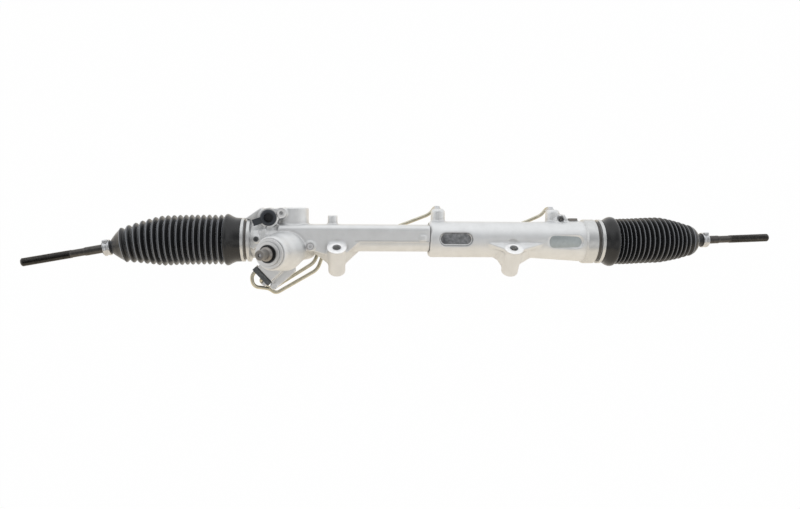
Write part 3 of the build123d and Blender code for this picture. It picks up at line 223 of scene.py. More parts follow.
class Nodes:
    """Small helper round a material's node tree."""

    def __init__(self, name):
        self.material = bpy.data.materials.new(name)
        self.material.use_nodes = True
        self.tree = self.material.node_tree
        self.tree.nodes.clear()
        self.out = self.add("ShaderNodeOutputMaterial")
        self.shader = self.add("ShaderNodeBsdfPrincipled")
        self.link(self.shader.outputs[0], self.out.inputs["Surface"])
        self.coord = self.add("ShaderNodeTexCoord").outputs["Object"]

    def add(self, kind, **settings):
        node = self.tree.nodes.new(kind)
        for key, value in settings.items():
            setattr(node, key, value)
        return node

    def link(self, a, b):
        self.tree.links.new(a, b)

    def noise(self, size_mm, detail=4.0, rough=0.6):
        """Noise whose grains are about size_mm across."""
        node = self.add("ShaderNodeTexNoise")
        node.inputs["Scale"].default_value = 1 / (size_mm * MM)
        node.inputs["Detail"].default_value = detail
        node.inputs["Roughness"].default_value = rough
        self.link(self.coord, node.inputs["Vector"])
        return node.outputs["Fac"]

    def ramp(self, value, stops):
        node = self.add("ShaderNodeValToRGB")
        ramp = node.color_ramp
        while len(ramp.elements) < len(stops):
            ramp.elements.new(0.5)
        for element, (pos, colour) in zip(ramp.elements, stops):
            element.position = pos
            element.color = (*colour, 1)
        self.link(value, node.inputs["Fac"])
        return node.outputs["Color"]

    def mix(self, factor, a, b):
        node = self.add("ShaderNodeMix", data_type="RGBA")
        for key, value in (("Factor", factor), ("A", a), ("B", b)):
            socket = node.inputs[key]
            if hasattr(value, "node"):
                self.link(value, socket)
            elif isinstance(value, tuple) and len(value) == 3:
                socket.default_value = (*value, 1)
            else:
                socket.default_value = value
        return node.outputs["Result"]

    def maths(self, operation, a, b):
        node = self.add("ShaderNodeMath", operation=operation)
        for socket, value in zip(node.inputs, (a, b)):
            if hasattr(value, "node"):
                self.link(value, socket)
            else:
                socket.default_value = value
        return node.outputs[0]

    def spread(self, value, low, high):
        """Noise stretched over low..high; most of it lies between 0.3 and 0.7."""
        node = self.add("ShaderNodeMapRange")
        node.inputs["From Min"].default_value = 0.3
        node.inputs["From Max"].default_value = 0.7
        node.inputs["To Min"].default_value = low
        node.inputs["To Max"].default_value = high
        self.link(value, node.inputs["Value"])
        return node.outputs[0]

    def bump(self, height, distance_mm, strength, under=None):
        node = self.add("ShaderNodeBump")
        node.inputs["Distance"].default_value = distance_mm * MM
        node.inputs["Strength"].default_value = strength
        self.link(height, node.inputs["Height"])
        if under is not None:
            self.link(under, node.inputs["Normal"])
        return node.outputs[0]

    def edges(self, low, high):
        """1 on convex edges, rising from low to high pointiness."""
        geometry = self.add("ShaderNodeNewGeometry")
        return self.ramp(geometry.outputs["Pointiness"], [(low, (0, 0, 0)), (high, (1, 1, 1))])

    def painted_corner_shade(self, colour, reach_mm, amount, painted_corner_shade):
        """The colour darkened where ambient occlusion finds a corner: painted shade."""
        node = self.add("ShaderNodeAmbientOcclusion", samples=6)
        node.inputs["Distance"].default_value = reach_mm * MM
        open_share = self.maths("POWER", node.outputs["AO"], CORNER_POWER)
        return self.mix(self.maths("MULTIPLY", self.maths("SUBTRACT", 1.0, open_share), amount), colour, painted_corner_shade)

    def finish(self, **inputs):
        for key, value in inputs.items():
            socket = self.shader.inputs[key.replace("_", " ")]
            if hasattr(value, "node"):
                self.link(value, socket)
            elif isinstance(value, tuple) and len(value) == 3 and socket.type == "RGBA":
                socket.default_value = (*value, 1)
            else:
                socket.default_value = value
        return self.material


def cast_aluminium(name, base, dull, rough, cloud_mm=CLOUD_MM):
    """Bead-blasted casting: fine grain, faint clouding, painted shade in the corners, painted highlight on convex
    edges.
    """
    n = Nodes(name)
    grain = n.noise(0.55, 3, 0.7)
    cloud = n.noise(cloud_mm, 5, 0.6)
    skin_wave = n.noise(5, 2, 0.5)
    colour = n.mix(n.spread(cloud, 0.0, 0.35 * CLOUD_MM / cloud_mm), base, dull)
    # painted shade: the colour darkens in the corners
    colour = n.painted_corner_shade(colour, 8, 0.75, (0.16, 0.15, 0.14))
    # painted highlight: convex edges mixed towards a pale grey
    colour = n.mix(n.maths("MULTIPLY", n.edges(0.51, 0.60), 0.5), colour, (0.80, 0.81, 0.82))
    normal = n.bump(skin_wave, 0.12, 0.5)
    normal = n.bump(grain, 0.05, 0.55, normal)
    return n.finish(Base_Color=colour, Metallic=0.8, Roughness=n.spread(grain, *rough), Normal=normal)


def machined(name, base, rough, marks=None, metallic=1.0):
    """Milled metal, or turned metal with fine marks a few tenths apart round the axis of a frame."""
    n = Nodes(name)
    cloud = n.noise(6, 4, 0.6)
    scratch = n.noise(0.4, 2, 0.5)
    colour = n.mix(n.spread(cloud, 0.0, 0.5), base, tuple(c * 0.8 for c in base))
    # painted shade: the colour darkens in the corners
    colour = n.painted_corner_shade(colour, 2.5, 0.6, (0.08, 0.075, 0.07))
    normal = n.bump(scratch, 0.012, 0.5)
    if marks is not None:
        mark_mm, frame_at = marks
        mapping = n.add("ShaderNodeMapping", vector_type="TEXTURE")
        mapping.inputs["Location"].default_value = frame_at.translation * MM
        mapping.inputs["Rotation"].default_value = frame_at.to_euler()
        n.link(n.coord, mapping.inputs["Vector"])
        rings = n.add("ShaderNodeTexWave", wave_type="RINGS", rings_direction="Z")
        rings.inputs["Scale"].default_value = 1 / (mark_mm * MM) / 20
        rings.inputs["Distortion"].default_value = 0.3
        n.link(mapping.outputs[0], rings.inputs["Vector"])
        normal = n.bump(rings.outputs["Fac"], 0.012, 0.3, normal)
    return n.finish(Base_Color=colour, Metallic=metallic, Normal=normal,
                    Roughness=n.spread(cloud, rough * 0.8, rough * 1.25))


def rubber(name, base, rough, crest_highlight_grey):
    """Moulded rubber, dusty at a slant, with a painted highlight as a grey line along its crests."""
    n = Nodes(name)
    grain = n.noise(0.5, 3, 0.6)
    cloud = n.noise(14, 4, 0.6)
    colour = n.mix(n.spread(cloud, 0.0, 0.6), base, tuple(c * 1.6 for c in base))
    line = n.add("ShaderNodeAttribute", attribute_name="crest").outputs["Fac"]
    # painted highlight: grey mixed into the colour along the crests
    colour = n.mix(n.maths("MULTIPLY", n.maths("POWER", line, 1.5), 0.9), colour, crest_highlight_grey)
    normal = n.bump(cloud, 0.15, 0.3)
    normal = n.bump(grain, 0.03, 0.5, normal)
    return n.finish(Base_Color=colour, Roughness=n.spread(cloud, *rough), Normal=normal,
                    Specular_IOR_Level=0.55, Sheen_Weight=0.8, Sheen_Roughness=0.3)


def plated(name, base, rough, dull, mottle_mm=4.0):
    """Plated or phosphated steel."""
    n = Nodes(name)
    cloud = n.noise(mottle_mm, 4, 0.65)
    grain = n.noise(0.35, 2, 0.6)
    colour = n.mix(n.spread(cloud, 0.0, 1.0), base, dull)
    # painted shade: the colour darkens in the corners
    colour = n.painted_corner_shade(colour, 2, 0.5, tuple(c * 0.15 for c in base))
    normal = n.bump(grain, 0.015, 0.5)
    return n.finish(Base_Color=colour, Metallic=1.0, Normal=normal,
                    Roughness=n.spread(cloud, rough * 0.75, rough * 1.3))


def plastic(name, base, rough):
    """Moulded plastic with a fine grain."""
    n = Nodes(name)
    grain = n.noise(0.6, 3, 0.6)
    colour = n.mix(n.spread(n.noise(9), 0.0, 0.4), base, tuple(c * 0.8 for c in base))
    return n.finish(Base_Color=colour, Normal=n.bump(grain, 0.03, 0.4),
                    Roughness=n.spread(grain, rough * 0.85, rough * 1.15))


CAST = cast_aluminium("cast_aluminium", (0.85, 0.855, 0.855), (0.66, 0.66, 0.65), (0.42, 0.56))
# a much darker copy of the casting: painted shade for the recess
RECESS_SHADE = cast_aluminium("recess_painted_shade", (0.36, 0.37, 0.38), (0.06, 0.065, 0.075), (0.3, 0.45), 7.0)
# a near-black copy of the casting: painted shade for the grooves and the bottoms of screw holes
GROOVE_SHADE = cast_aluminium("groove_painted_shade", (0.11, 0.105, 0.10), (0.05, 0.05, 0.05), (0.35, 0.5), 7.0)
SPOT = machined("spot_face", (0.95, 0.955, 0.96), 0.34, (0.8, upright(0, 0, 0)))
TURNED_X = machined("turned_aluminium", (0.72, 0.725, 0.72), 0.36, (0.7, RACK), 0.85)
TURNED_VALVE = machined("turned_cover", (0.94, 0.945, 0.95), 0.42, (0.6, VALVE))
MILLED = machined("milled_aluminium", (0.56, 0.61, 0.62), 0.4)
STEEL = machined("shaft_steel", (0.30, 0.285, 0.27), 0.32, (0.5, VALVE))
BRIGHT = machined("ground_steel", (0.56, 0.56, 0.57), 0.22)
# the last colour is the painted highlight along the crests
RUBBER = rubber("bellow_rubber", (0.007, 0.007, 0.0075), (0.24, 0.34), (0.40, 0.40, 0.41))
SEAL = rubber("seal_rubber", (0.01, 0.01, 0.01), (0.3, 0.4), (0.045, 0.043, 0.046))
ROD_STEEL = plated("dark_rod_steel", (0.125, 0.12, 0.115), 0.3, (0.07, 0.067, 0.064))
ZINC = plated("bright_zinc", (0.68, 0.69, 0.70), 0.22, (0.50, 0.51, 0.53))
YELLOW = plated("yellow_zinc", (0.68, 0.645, 0.54), 0.2, (0.50, 0.475, 0.37), 9.0)
PLATE = plated("flange_steel", (0.17, 0.18, 0.185), 0.38, (0.10, 0.105, 0.11))
PTFE = plastic("filled_ptfe", (0.10, 0.06, 0.03), 0.45)
ACETAL = plastic("acetal", (0.68, 0.66, 0.6), 0.35)
PLUG = plastic("plug_plastic", (0.036, 0.040, 0.047), 0.42)

NODE_MATERIAL = {
    "valve_housing": CAST, "cylinder_housing": CAST, "rack_bar": BRIGHT, "piston": STEEL, "piston_ring": PTFE,
    "left_stop_washer": STEEL, "right_stop_washer": STEEL, "left_rack_bush": ACETAL, "inner_rack_seal": SEAL,
    "rack_end_bush": TURNED_X, "outer_rack_seal": SEAL, "end_bush_ring": SEAL, "snap_ring": STEEL,
    "yoke": TURNED_X, "yoke_liner": PTFE, "yoke_spring": STEEL, "yoke_plug": ZINC, "pinion_shaft": BRIGHT,
    "torsion_bar": BRIGHT, "valve_sleeve": BRIGHT, "valve_rings": PTFE, "input_shaft": STEEL,
    "lower_bearing": BRIGHT, "upper_bearing": BRIGHT, "input_bearing": BRIGHT, "pinion_nut": ZINC, "bottom_cap": ZINC,
    "valve_cover": TURNED_VALVE, "input_seal": SEAL, "long_pipe": YELLOW, "short_pipe": YELLOW,
    "inner_union_nut": ZINC, "outer_union_nut": ZINC, "pipe_flange": PLATE, "flange_bolt": ZINC,
    "lug_screw": ZINC, "side_screw": PLATE, "port_plug": PLUG,
}
for side in ("left", "right"):
    NODE_MATERIAL.update({
        side + "_ball_housing": STEEL, side + "_ball_seat": ACETAL, side + "_tie_rod": ROD_STEEL,
        side + "_bellow": RUBBER, side + "_bellow_clamp": ZINC,
    })
for node, material in NODE_MATERIAL.items():
    data = frame["nodes"][node].data
    data.materials.clear()
    data.materials.append(material)
    shade(data, 30)


# ---------------------------------------------------------------- castings
FILLET_MM = 2.0             # radius of the castings' inner corners
VOXEL_MM = 1.0
FACES_KEPT = 0.35


def bare_copy(name, mesh):
    """The mesh's faces in a mesh of its own."""
    bm = bmesh.new()
    bm.from_mesh(mesh)
    copy = bpy.data.meshes.new(name)
    bm.to_mesh(copy)
    bm.free()
    return copy


def push_out(piece, distance_mm):
    """Adds a push along the normals."""
    push = piece.modifiers.new("push", "DISPLACE")
    push.strength = distance_mm * MM
    push.mid_level = 0.0


def remesh(piece):
    """Adds a voxel remesh, which merges everything into one skin."""
    voxel = piece.modifiers.new("voxels", "REMESH")
    voxel.mode = "VOXEL"
    voxel.voxel_size = VOXEL_MM * MM


def cut_away(piece, mesh):
    """Takes a closed mesh out of a piece."""
    cutter = bpy.data.objects.new("cutter", mesh)
    bpy.context.scene.collection.objects.link(cutter)
    cut = piece.modifiers.new("cut", "BOOLEAN")
    cut.operation = "DIFFERENCE"
    cut.solver = "EXACT"
    cut.object = cutter
    apply_modifiers(piece)
    bpy.data.objects.remove(cutter)


def cast_skin(name, node, cutter):
    """The casting of a CAD node, less its turned end, with its corners rounded as a mould leaves them."""
    piece = new_object(name, bare_copy(name, frame["nodes"][node].data), None, CAST)
    weld = piece.modifiers.new("weld", "WELD")
    weld.merge_threshold = 1e-6
    apply_modifiers(piece)
    cut_away(piece, cutter)
    remesh(piece)
    apply_modifiers(piece)
    push_out(piece, FILLET_MM)
    remesh(piece)
    apply_modifiers(piece)
    push_out(piece, -FILLET_MM)
    remesh(piece)
    smooth = piece.modifiers.new("smooth", "SMOOTH")
    smooth.factor = 0.5
    smooth.iterations = 4
    fewer = piece.modifiers.new("fewer", "DECIMATE")
    fewer.ratio = FACES_KEPT
    apply_modifiers(piece)
    piece.data.materials.clear()
    piece.data.materials.append(CAST)
    shade(piece.data, 50)
    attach(piece, frame["nodes"][node]["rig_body"])
    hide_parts(node)


# ---------------------------------------------------------------- bellows and rods
SIDES = {
    # side: sign along X, yaw and droop of its rod
    "left": (-1, math.radians(9), math.radians(6)),
    "right": (1, math.radians(-4), math.radians(0.3)),
}
BALL_FROM_MIDDLE, RACK_OFFSET = 440.0, -16.0
SEAT_R, CUFF_R, COLLAR_R = 34.7, 37.5, 44.5     # inside of the cuff, its outside, and the collar's bead
NECK_WIDTH, NECK_R = 14.0, 11.5
SHANK_R = 7.2
FOLD_DEPTH = 0.168                              # as a share of the crest's radius
EDGE = {"left": 313.5, "right": 316.0}          # where each bellow begins
COLLAR_END = {"left": 343.0, "right": 343.5}
SEAT_END = {"left": 342.0, "right": 340.0}      # end of the turned seat inside
CREST_AT = {                                    # the folds' crests, as shares of the way to the cone
    "left": (0.031, 0.089, 0.146, 0.202, 0.258, 0.313, 0.367, 0.422, 0.478,
             0.535, 0.592, 0.650, 0.710, 0.772, 0.836, 0.903, 0.975),
    "right": (0.020, 0.063, 0.107, 0.155, 0.206, 0.259, 0.314, 0.369, 0.425,
              0.483, 0.542, 0.601, 0.655, 0.709, 0.765, 0.823, 0.888),
}
CREST_R = {
    "left": (*[42.7] * 10, 42.5, 41.0, 39.0, 36.9, 34.5, 32.1, 29.6),
    "right": (40.6, *[41.0] * 9, 40.4, 38.9, 37.2, 35.3, 33.3, 30.6, 28.0),
}
BOW = {"left": 0.0, "right": 2.2}               # how far the middle of each bellow lifts
NECK_AT = {"left": 82.0, "right": 90.0}         # middle of the neck, from the ball
CONE = {"left": 16.0, "right": 7.0}             # from the end of the folds' path to the neck
SEAMS = {"left": (11, 14), "right": (11, 14)}   # folds before which a bellow is cut
CREST_HIGHLIGHT_WIDTH = 0.5                                # half width of the painted highlight line on a crest
BELLOW_N = 96
CREST_MARK_N = 192
FOLD_STEPS = 6                                  # rings from a valley to a crest
INNER_FOLD_STEPS = 4
CREST_SHARPNESS = 1.7
WALL = 2.2
ROD_LENGTH = {"left": 220.5, "right": 217.0}


def ball_centre(sign):
    return AXIS + X * (sign * BALL_FROM_MIDDLE + RACK_OFFSET)


def rod_direction(sign, yaw, droop):
    return Vector((sign * math.cos(yaw) * math.cos(droop), -math.sin(yaw) * math.cos(droop), -math.sin(droop)))


def rod_place(side):
    sign, yaw, droop = SIDES[side]
    away = rod_direction(sign, yaw, droop)
    return across(ball_centre(sign), away)


def fold_path(side):
    """Centre line of the folds: a function from 0 at the collar to 1 at the cone."""
    sign, yaw, droop = SIDES[side]
    away = rod_direction(sign, yaw, droop)
    start = AXIS + X * sign * COLLAR_END[side]
    end = ball_centre(sign) + away * (NECK_AT[side] - NECK_WIDTH / 2 - CONE[side])
    pull = (end - start).length
    first, last = X * sign * pull, away * pull

    def where(s):
        a, b, c, d = 2 * s**3 - 3 * s**2 + 1, s**3 - 2 * s**2 + s, -2 * s**3 + 3 * s**2, s**3 - s**2
        point = start * a + first * b + end * c + last * d
        slope = start * (6 * s**2 - 6 * s) + first * (3 * s**2 - 4 * s + 1)
        slope += end * (-6 * s**2 + 6 * s) + last * (3 * s**2 - 2 * s)
        return point + UP * BOW[side] * math.sin(math.pi * min(s, 1.0)) ** 2, slope.normalized()
    return where


def valley(side, i):
    """Share of the way at which the valley before fold i lies."""
    crests = CREST_AT[side]
    return 0.0 if i == 0 else (crests[i - 1] + crests[i]) / 2


def fold_rings(side, first, last, steps, wall):
    """Rings from the valley before one fold to the valley before another, or to the last crest."""
    where = fold_path(side)
    at_s, at_r = CREST_AT[side], CREST_R[side]
    final = len(at_s) - 1
    rings = []
    for i in range(first, min(last, final) + 1):
        if i == last:
            marks = [(valley(side, i), (at_r[i - 1] + at_r[i]) / 2 * (1 - FOLD_DEPTH))]
        else:
            before = (at_r[max(i - 1, 0)] + at_r[i]) / 2 * (1 - FOLD_DEPTH)
            rise = [(valley(side, i), before), (at_s[i], at_r[i])]
            marks = [swell(*rise[0], *rise[1], k / steps) for k in range(steps)]
            if i < final:
                after = (at_r[i + 1] + at_r[i]) / 2 * (1 - FOLD_DEPTH)
                marks += [swell(valley(side, i + 1), after, *rise[1], 1 - k / steps) for k in range(steps)]
            else:
                marks.append(rise[1])
        for s, r in marks:
            point, slope = where(s)
            rings.append(circle(across(point, slope), 0, r - wall, BELLOW_N))
    return rings


def swell(s0, r0, s1, r1, u):
    """Place between a valley and a crest; the crest is the narrower."""
    return s0 + (s1 - s0) * u, r0 + (r1 - r0) * math.sin(math.pi / 2 * u) ** CREST_SHARPNESS


def crest_points(side):
    """Points along the crests, to mark the fine painted highlight line there."""
    where = fold_path(side)
    points = []
    for s, r in zip(CREST_AT[side], CREST_R[side]):
        point, slope = where(s)
        points += circle(across(point, slope), 0, r, CREST_MARK_N)
    return points


def profile_rings(frame_at, profile, n=BELLOW_N):
    return [circle(frame_at, z, r, n) for z, r in profile]


def collar_outside(side):
    """Cuff, then a bead, from the collar's edge."""
    width = COLLAR_END[side] - EDGE[side]
    if side == "left":
        run = [(0, CUFF_R - 0.6), (0.6, CUFF_R), (9.5, CUFF_R + 0.3), (16, 40.5), (21, COLLAR_R - 0.8),
               (24, COLLAR_R), (26.5, COLLAR_R - 1.5), (29, 38.5)]
    else:
        run = [(0, CUFF_R - 0.6), (0.6, CUFF_R), (6.0, CUFF_R + 0.6), (12.5, 42.4), (16.5, COLLAR_R - 0.4),
               (21.5, COLLAR_R - 0.5), (24.6, 41.0), (26.4, 37.0)]
    return rounded([(0, SEAT_R + 0.4)] + [p for p in run if p[0] < width], 2.0)


def collar_inside(side):
    depth = SEAT_END[side] - EDGE[side]
    return [(0, SEAT_R), (depth + 0.3, SEAT_R), (depth + 0.6, SEAT_R - 3)]


def cone_outside(side):
    """Cone or dome, then the neck, along the rod."""
    cuff = NECK_AT[side] - NECK_WIDTH / 2
    if side == "left":
        run = [(cuff - 19, 27.8), (cuff - 11, 21.4), (cuff - 3, 13.8), (cuff - 0.6, 10.9)]
    else:
        run = [(cuff - 23, 27.4), (cuff - 18, 25.0), (cuff - 13, 20.5), (cuff - 9.5, 15.0), (cuff - 7.2, 10.6)]
    neck = [(cuff + 0.5, 10.6), (cuff + 1.5, NECK_R - 0.3), (cuff + 3, NECK_R), (cuff + NECK_WIDTH - 1, NECK_R),
            (cuff + NECK_WIDTH, NECK_R - 0.8)]
    return rounded(run + neck, 1.6)


def cone_inside(side):
    cuff = NECK_AT[side] - NECK_WIDTH / 2
    if side == "left":
        run = [(cuff - 17.5, 24.0), (cuff - 3, 9.0)]
    else:
        run = [(cuff - 20, 20.5), (cuff - 12, 12.0), (cuff - 8, 8.5)]
    return run + [(cuff, SHANK_R + 0.3), (cuff + NECK_WIDTH, SHANK_R + 0.3)]


def shell(name, outer, inner, crests):
    """A closed hollow piece from its outer rings and inner rings, with its crests marked."""
    mesh = skin(name, [*outer, *reversed(inner)], closed=True, sharp=60)
    mark = mesh.attributes.new("crest", "FLOAT", "POINT")
    for v, value in zip(mesh.vertices, mark.data):
        value.value = 1.0 if crests.find(v.co)[2] < CREST_HIGHLIGHT_WIDTH * MM else 0.0
    return new_object(name, mesh, None, RUBBER)


def bellow(side):
    """A rubber bellow in three lengths whose seams lie at the bottom of folds.
    """
    where = fold_path(side)
    a_end, b_end = SEAMS[side]

    def folds(first, last):
        return (fold_rings(side, first, last, FOLD_STEPS, 0.0),
                fold_rings(side, first, last, INNER_FOLD_STEPS, WALL))

    points = crest_points(side)
    crests = KDTree(len(points))
    for i, p in enumerate(points):
        crests.insert(p * MM, i)
    crests.balance()
    out_a, in_a = folds(0, a_end)
    out_b, in_b = folds(a_end, b_end)
    out_c, in_c = folds(b_end, len(CREST_AT[side]))
    slope = X * SIDES[side][0]
    edge = across(AXIS + slope * EDGE[side], slope)
    out_a = profile_rings(edge, collar_outside(side)) + out_a
    in_a = profile_rings(edge, collar_inside(side)) + in_a
    out_c += profile_rings(rod_place(side), cone_outside(side))
    in_c += profile_rings(rod_place(side), cone_inside(side))
    a = shell(side + "_bellow_inboard", out_a, in_a, crests)
    b = shell(side + "_bellow_middle", out_b, in_b, crests)
    c = shell(side + "_bellow_outboard", out_c, in_c, crests)
    seam_a, way_a = where(valley(side, a_end))
    seam_b, way_b = where(valley(side, b_end))
    tip = where(1.0)[0]
    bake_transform(a)
    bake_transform(b)
    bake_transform(c)
    for piece in (a, b, c):
        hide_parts(side + "_bellow")


# ---------------------------------------------------------------- machined places on the castings
LAND_R = {"left": 37.5, "right": 39.0}
LAND_START = {"left": 298.0, "right": 285.0}
SLOPE_R = {"left": 31.0, "right": 36.0}         # casting behind the land
BORE_R = {"left": 16.6, "right": 24.1}
BAND = {"left": 5.5, "right": 6.0}
GROOVE = {"left": 5.0, "right": 7.5}
GROOVE_DEPTH = 4.5
SEAT_END_R = 34.4
END_N = 160
PAST_END = 350.0
# (from x, to x, up, width) of the slot shapes on the cylinder
RECESS = (24, 82, 4.5, 22.5)
PAD = (214, 276, 1, 23)
ARC_N = 14
CYLINDER_R, CYLINDER_RISE = 31.5, 2.5
# (up, out) outlines of two bars
PARTING_EDGE = [(0.9, 29.0), (0.9, 29.9), (0.6, 30.1), (-0.1, 30.1), (-0.4, 29.9), (-0.4, 27.6)]
FIN_TAB = [(31.0, -2.5), (40.6, -2.5), (40.9, -2.9), (40.9, -3.4), (31.0, -3.4)]


def end_frame(side):
    return place(AXIS, X * SIDES[side][0], UP)


def end_cutter(side):
    """The turned end of a housing as a plain cylinder."""
    start, r = LAND_START[side], LAND_R[side] + 0.05
    profile = [(start, 0.0), (start, r), (PAST_END, r), (PAST_END, 0.0)]
    return lathe(side + "_end_cutter", end_frame(side), profile, END_N)


def turned_end(side):
    """Land, groove, band and the seat of the bellow, sharply turned, with a dark ring painted as the shade in the
    groove.
    """
    edge, r, end = EDGE[side], LAND_R[side], SEAT_END[side]
    start, band = LAND_START[side], edge - BAND[side]
    groove = band - GROOVE[side]
    floor_r, inner = r - GROOVE_DEPTH, BORE_R[side]
    outside = [(start - 3.6, inner), (start - 3.6, SLOPE_R[side] - 1), (start - 0.2, r - 0.3), (start + 0.5, r),
               (groove - 0.35, r), (groove, r - 0.35), (groove, floor_r + 0.3), (groove + 0.3, floor_r),
               (band - 0.3, floor_r), (band, floor_r + 0.3), (band, r - 0.35), (band + 0.35, r),
               (edge - 0.8, r), (edge, r - 0.8), (edge, SEAT_END_R), (end - 3, SEAT_END_R),
               (end, SEAT_END_R - 2), (end, inner)]
    name = side + "_turned_end"
    mesh = lathe(name, end_frame(side), outside, END_N, closed=True, sharp=25)
    new_object(name, mesh, "housing", TURNED_X)
    # a dark ring painted as the shade in the groove
    liner = [(groove + 0.2, floor_r - 0.5), (groove + 0.2, floor_r + 0.6), (groove + 0.9, floor_r + 0.25),
             (band - 0.9, floor_r + 0.25), (band - 0.2, floor_r + 0.6), (band - 0.2, floor_r - 0.5)]
    name = side + "_groove_shade_ring"
    mesh = lathe(name, end_frame(side), liner, END_N, closed=True)
    new_object(name, mesh, "housing", GROOVE_SHADE)


def obround(x0, x1, up, width, inset, height):
    """Ring of points round a slot shape that faces the valve's side.

    The height is a number, or a function of the point's up.
    """
    r = width / 2 - inset
    points = []
    for centre, turn in ((x1 - width / 2, -90), (x0 + width / 2, 90)):
        for j in range(ARC_N + 1):
            a = math.radians(turn + 180 * j / ARC_N)
            u = up + r * math.sin(a)
            points.append(at(centre + r * math.cos(a), u, height(u) if callable(height) else height))
    return points


def cylinder_top(up):
    """Outside of the pressure cylinder, less a little."""
    return math.sqrt(CYLINDER_R**2 - (up - CYLINDER_RISE) ** 2) - 0.6


def recess():
    """The tub of the slot-shaped recess, coloured dark as painted shade."""
    rings = [obround(*RECESS, inset, height) for inset, height in (
        (-0.1, 26.0), (-0.1, cylinder_top), (0.5, cylinder_top), (0.9, 27.8), (1.8, 26.9), (6.0, 26.85))]
    new_object("recess_shade_tub", skin("recess_shade_tub", rings, sharp=40), "housing", RECESS_SHADE)


def milled_pad():
    """The pale milled face near the right end."""
    rings = [obround(*PAD, inset, height) for inset, height in ((0.9, 30.6), (0.9, 31.15), (1.2, 31.3))]
    new_object("milled_pad", skin("milled_pad", rings, sharp=40), "housing", MILLED)


def strip(name, x0, x1, section, material):
    """A machined bar along the rack from (up, out) points."""
    rings = [[at(x, up, out) for up, out in section] for x in (x0, x0 + 0.5, x1 - 0.5, x1)]
    new_object(name, skin(name, rings, sharp=25), "housing", material)


def faced_ring(name, frame_at, face, hole_r, r):
    """A thin bright ring: the milled face of a boss."""
    profile = [(face - 0.5, hole_r), (face + 0.05, hole_r), (face + 0.18, hole_r + 0.25), (face + 0.18, r - 0.3),
               (face + 0.02, r), (face - 0.5, r)]
    new_object(name, lathe(name, frame_at, profile, closed=True), "housing", SPOT)


def dark_floor(name, frame_at, z, r):
    """The unlit bottom of a screw hole."""
    profile = [(z - 0.5, 0.0), (z - 0.5, r), (z, r), (z, 0.0)]
    new_object(name, lathe(name, frame_at, profile, 48), "housing", GROOVE_SHADE)


# ---------------------------------------------------------------- rods and clamps
ROD_N = 40
RINGS_PER_TURN = 5
M14_R, M14_PITCH, M14_DEPTH = 7.0, 1.5, 0.92
BALL_R = 12.9
THREAD_START = 140.6


def thread_rings(frame_at, z0, z1):
    """Rings of the rod's screw thread, running out at both ends."""
    count = int((z1 - z0) / M14_PITCH * RINGS_PER_TURN)
    rings = []
    for i in range(count + 1):
        z = z0 + (z1 - z0) * i / count
        fade = min(1.0, (z - z0) / M14_PITCH, (z1 - z) / M14_PITCH)
        points = []
        for j in range(ROD_N):
            a = 2 * math.pi * j / ROD_N
            phase = (z / M14_PITCH - j / ROD_N) % 1.0
            cut = abs(2 * phase - 1)
            k = M14_R - M14_DEPTH * max(0.0, cut * 1.25 - 0.125) * fade
            points.append(frame_at @ Vector((k * math.cos(a), k * math.sin(a), z)))
        rings.append(points)
    return rings


def tie_rod(side):
    """Ball, neck, shank, relief, and an M14 thread."""
    frame_at = rod_place(side)
    angles = [0.02 + (math.pi - 0.55) * i / 20 for i in range(21)]
    ball = [(-BALL_R * math.cos(a), BALL_R * math.sin(a)) for a in angles]
    shank = rounded([(BALL_R + 3.5, 6.5), (30, 6.5), (34, SHANK_R), (117.6, SHANK_R), (120, 6.4), (138.6, 6.4),
                     (THREAD_START - 0.6, 6.75)], 1.2)
    end = ROD_LENGTH[side]
    tip = rounded([(end - 0.8, 6.1), (end, 5.2), (end, SMALLEST_R)], 0.3)
    rings = profile_rings(frame_at, ball + shank, ROD_N)
    rings += thread_rings(frame_at, THREAD_START, end - 2.2)
    rings += profile_rings(frame_at, [(end - 1.7, 6.8)] + tip, ROD_N)
    name = side + "_rod_with_thread"
    piece = new_object(name, skin(name, rings, sharp=40), side + "_rod", ROD_STEEL)
    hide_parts(side + "_tie_rod")


def rod_clamp(side):
    """Double-banded ring clamp with a pinched ear on the bellow's small end."""
    frame_at = rod_place(side)
    inner = NECK_R + 0.3
    z0, z1 = NECK_AT[side] - 5.5, NECK_AT[side] + 5.5
    band = rounded([(z0, inner), (z0, inner + 1.1), (z0 + 0.9, inner + 1.6), (z0 + 3.1, inner + 1.6),
                    (z0 + 4.0, inner + 0.8), (z1 - 4.0, inner + 0.8), (z1 - 3.1, inner + 1.6),
                    (z1 - 0.9, inner + 1.6), (z1, inner + 1.1), (z1, inner)], 0.5, loop=True)
    name = side + "_clamp_band"
    mesh = lathe(name, frame_at, band, 72, closed=True, sharp=50)
    piece = new_object(name, mesh, side + "_rod", ZINC)
    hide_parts(side + "_bellow_clamp")
    ear = ear_mesh(side + "_clamp_ear", frame_at, inner + 1.0, z0 + 1.2, z1 - 1.2)
    new_object(side + "_clamp_ear", ear, side + "_rod", ZINC)


def ear_mesh(name, frame_at, base, z0, z1):
    """The crimped ear: an omega-shaped strip standing on the band."""
    outline = [(-3.4, 0), (-2.9, 1.0), (-1.9, 1.3), (-1.5, 2.0), (-2.0, 2.9), (-1.5, 3.6), (0, 3.9), (1.5, 3.6),
               (2.0, 2.9), (1.5, 2.0), (1.9, 1.3), (2.9, 1.0), (3.4, 0), (1.6, 0.3), (0.7, 1.6), (1.2, 2.7),
               (0, 3.1), (-1.2, 2.7), (-0.7, 1.6), (-1.6, 0.3)]
    rings = [[frame_at @ Vector((x, base + y, z)) for x, y in outline] for z in (z0, z0 + 0.4, z1 - 0.4, z1)]
    return skin(name, rings, sharp=35)


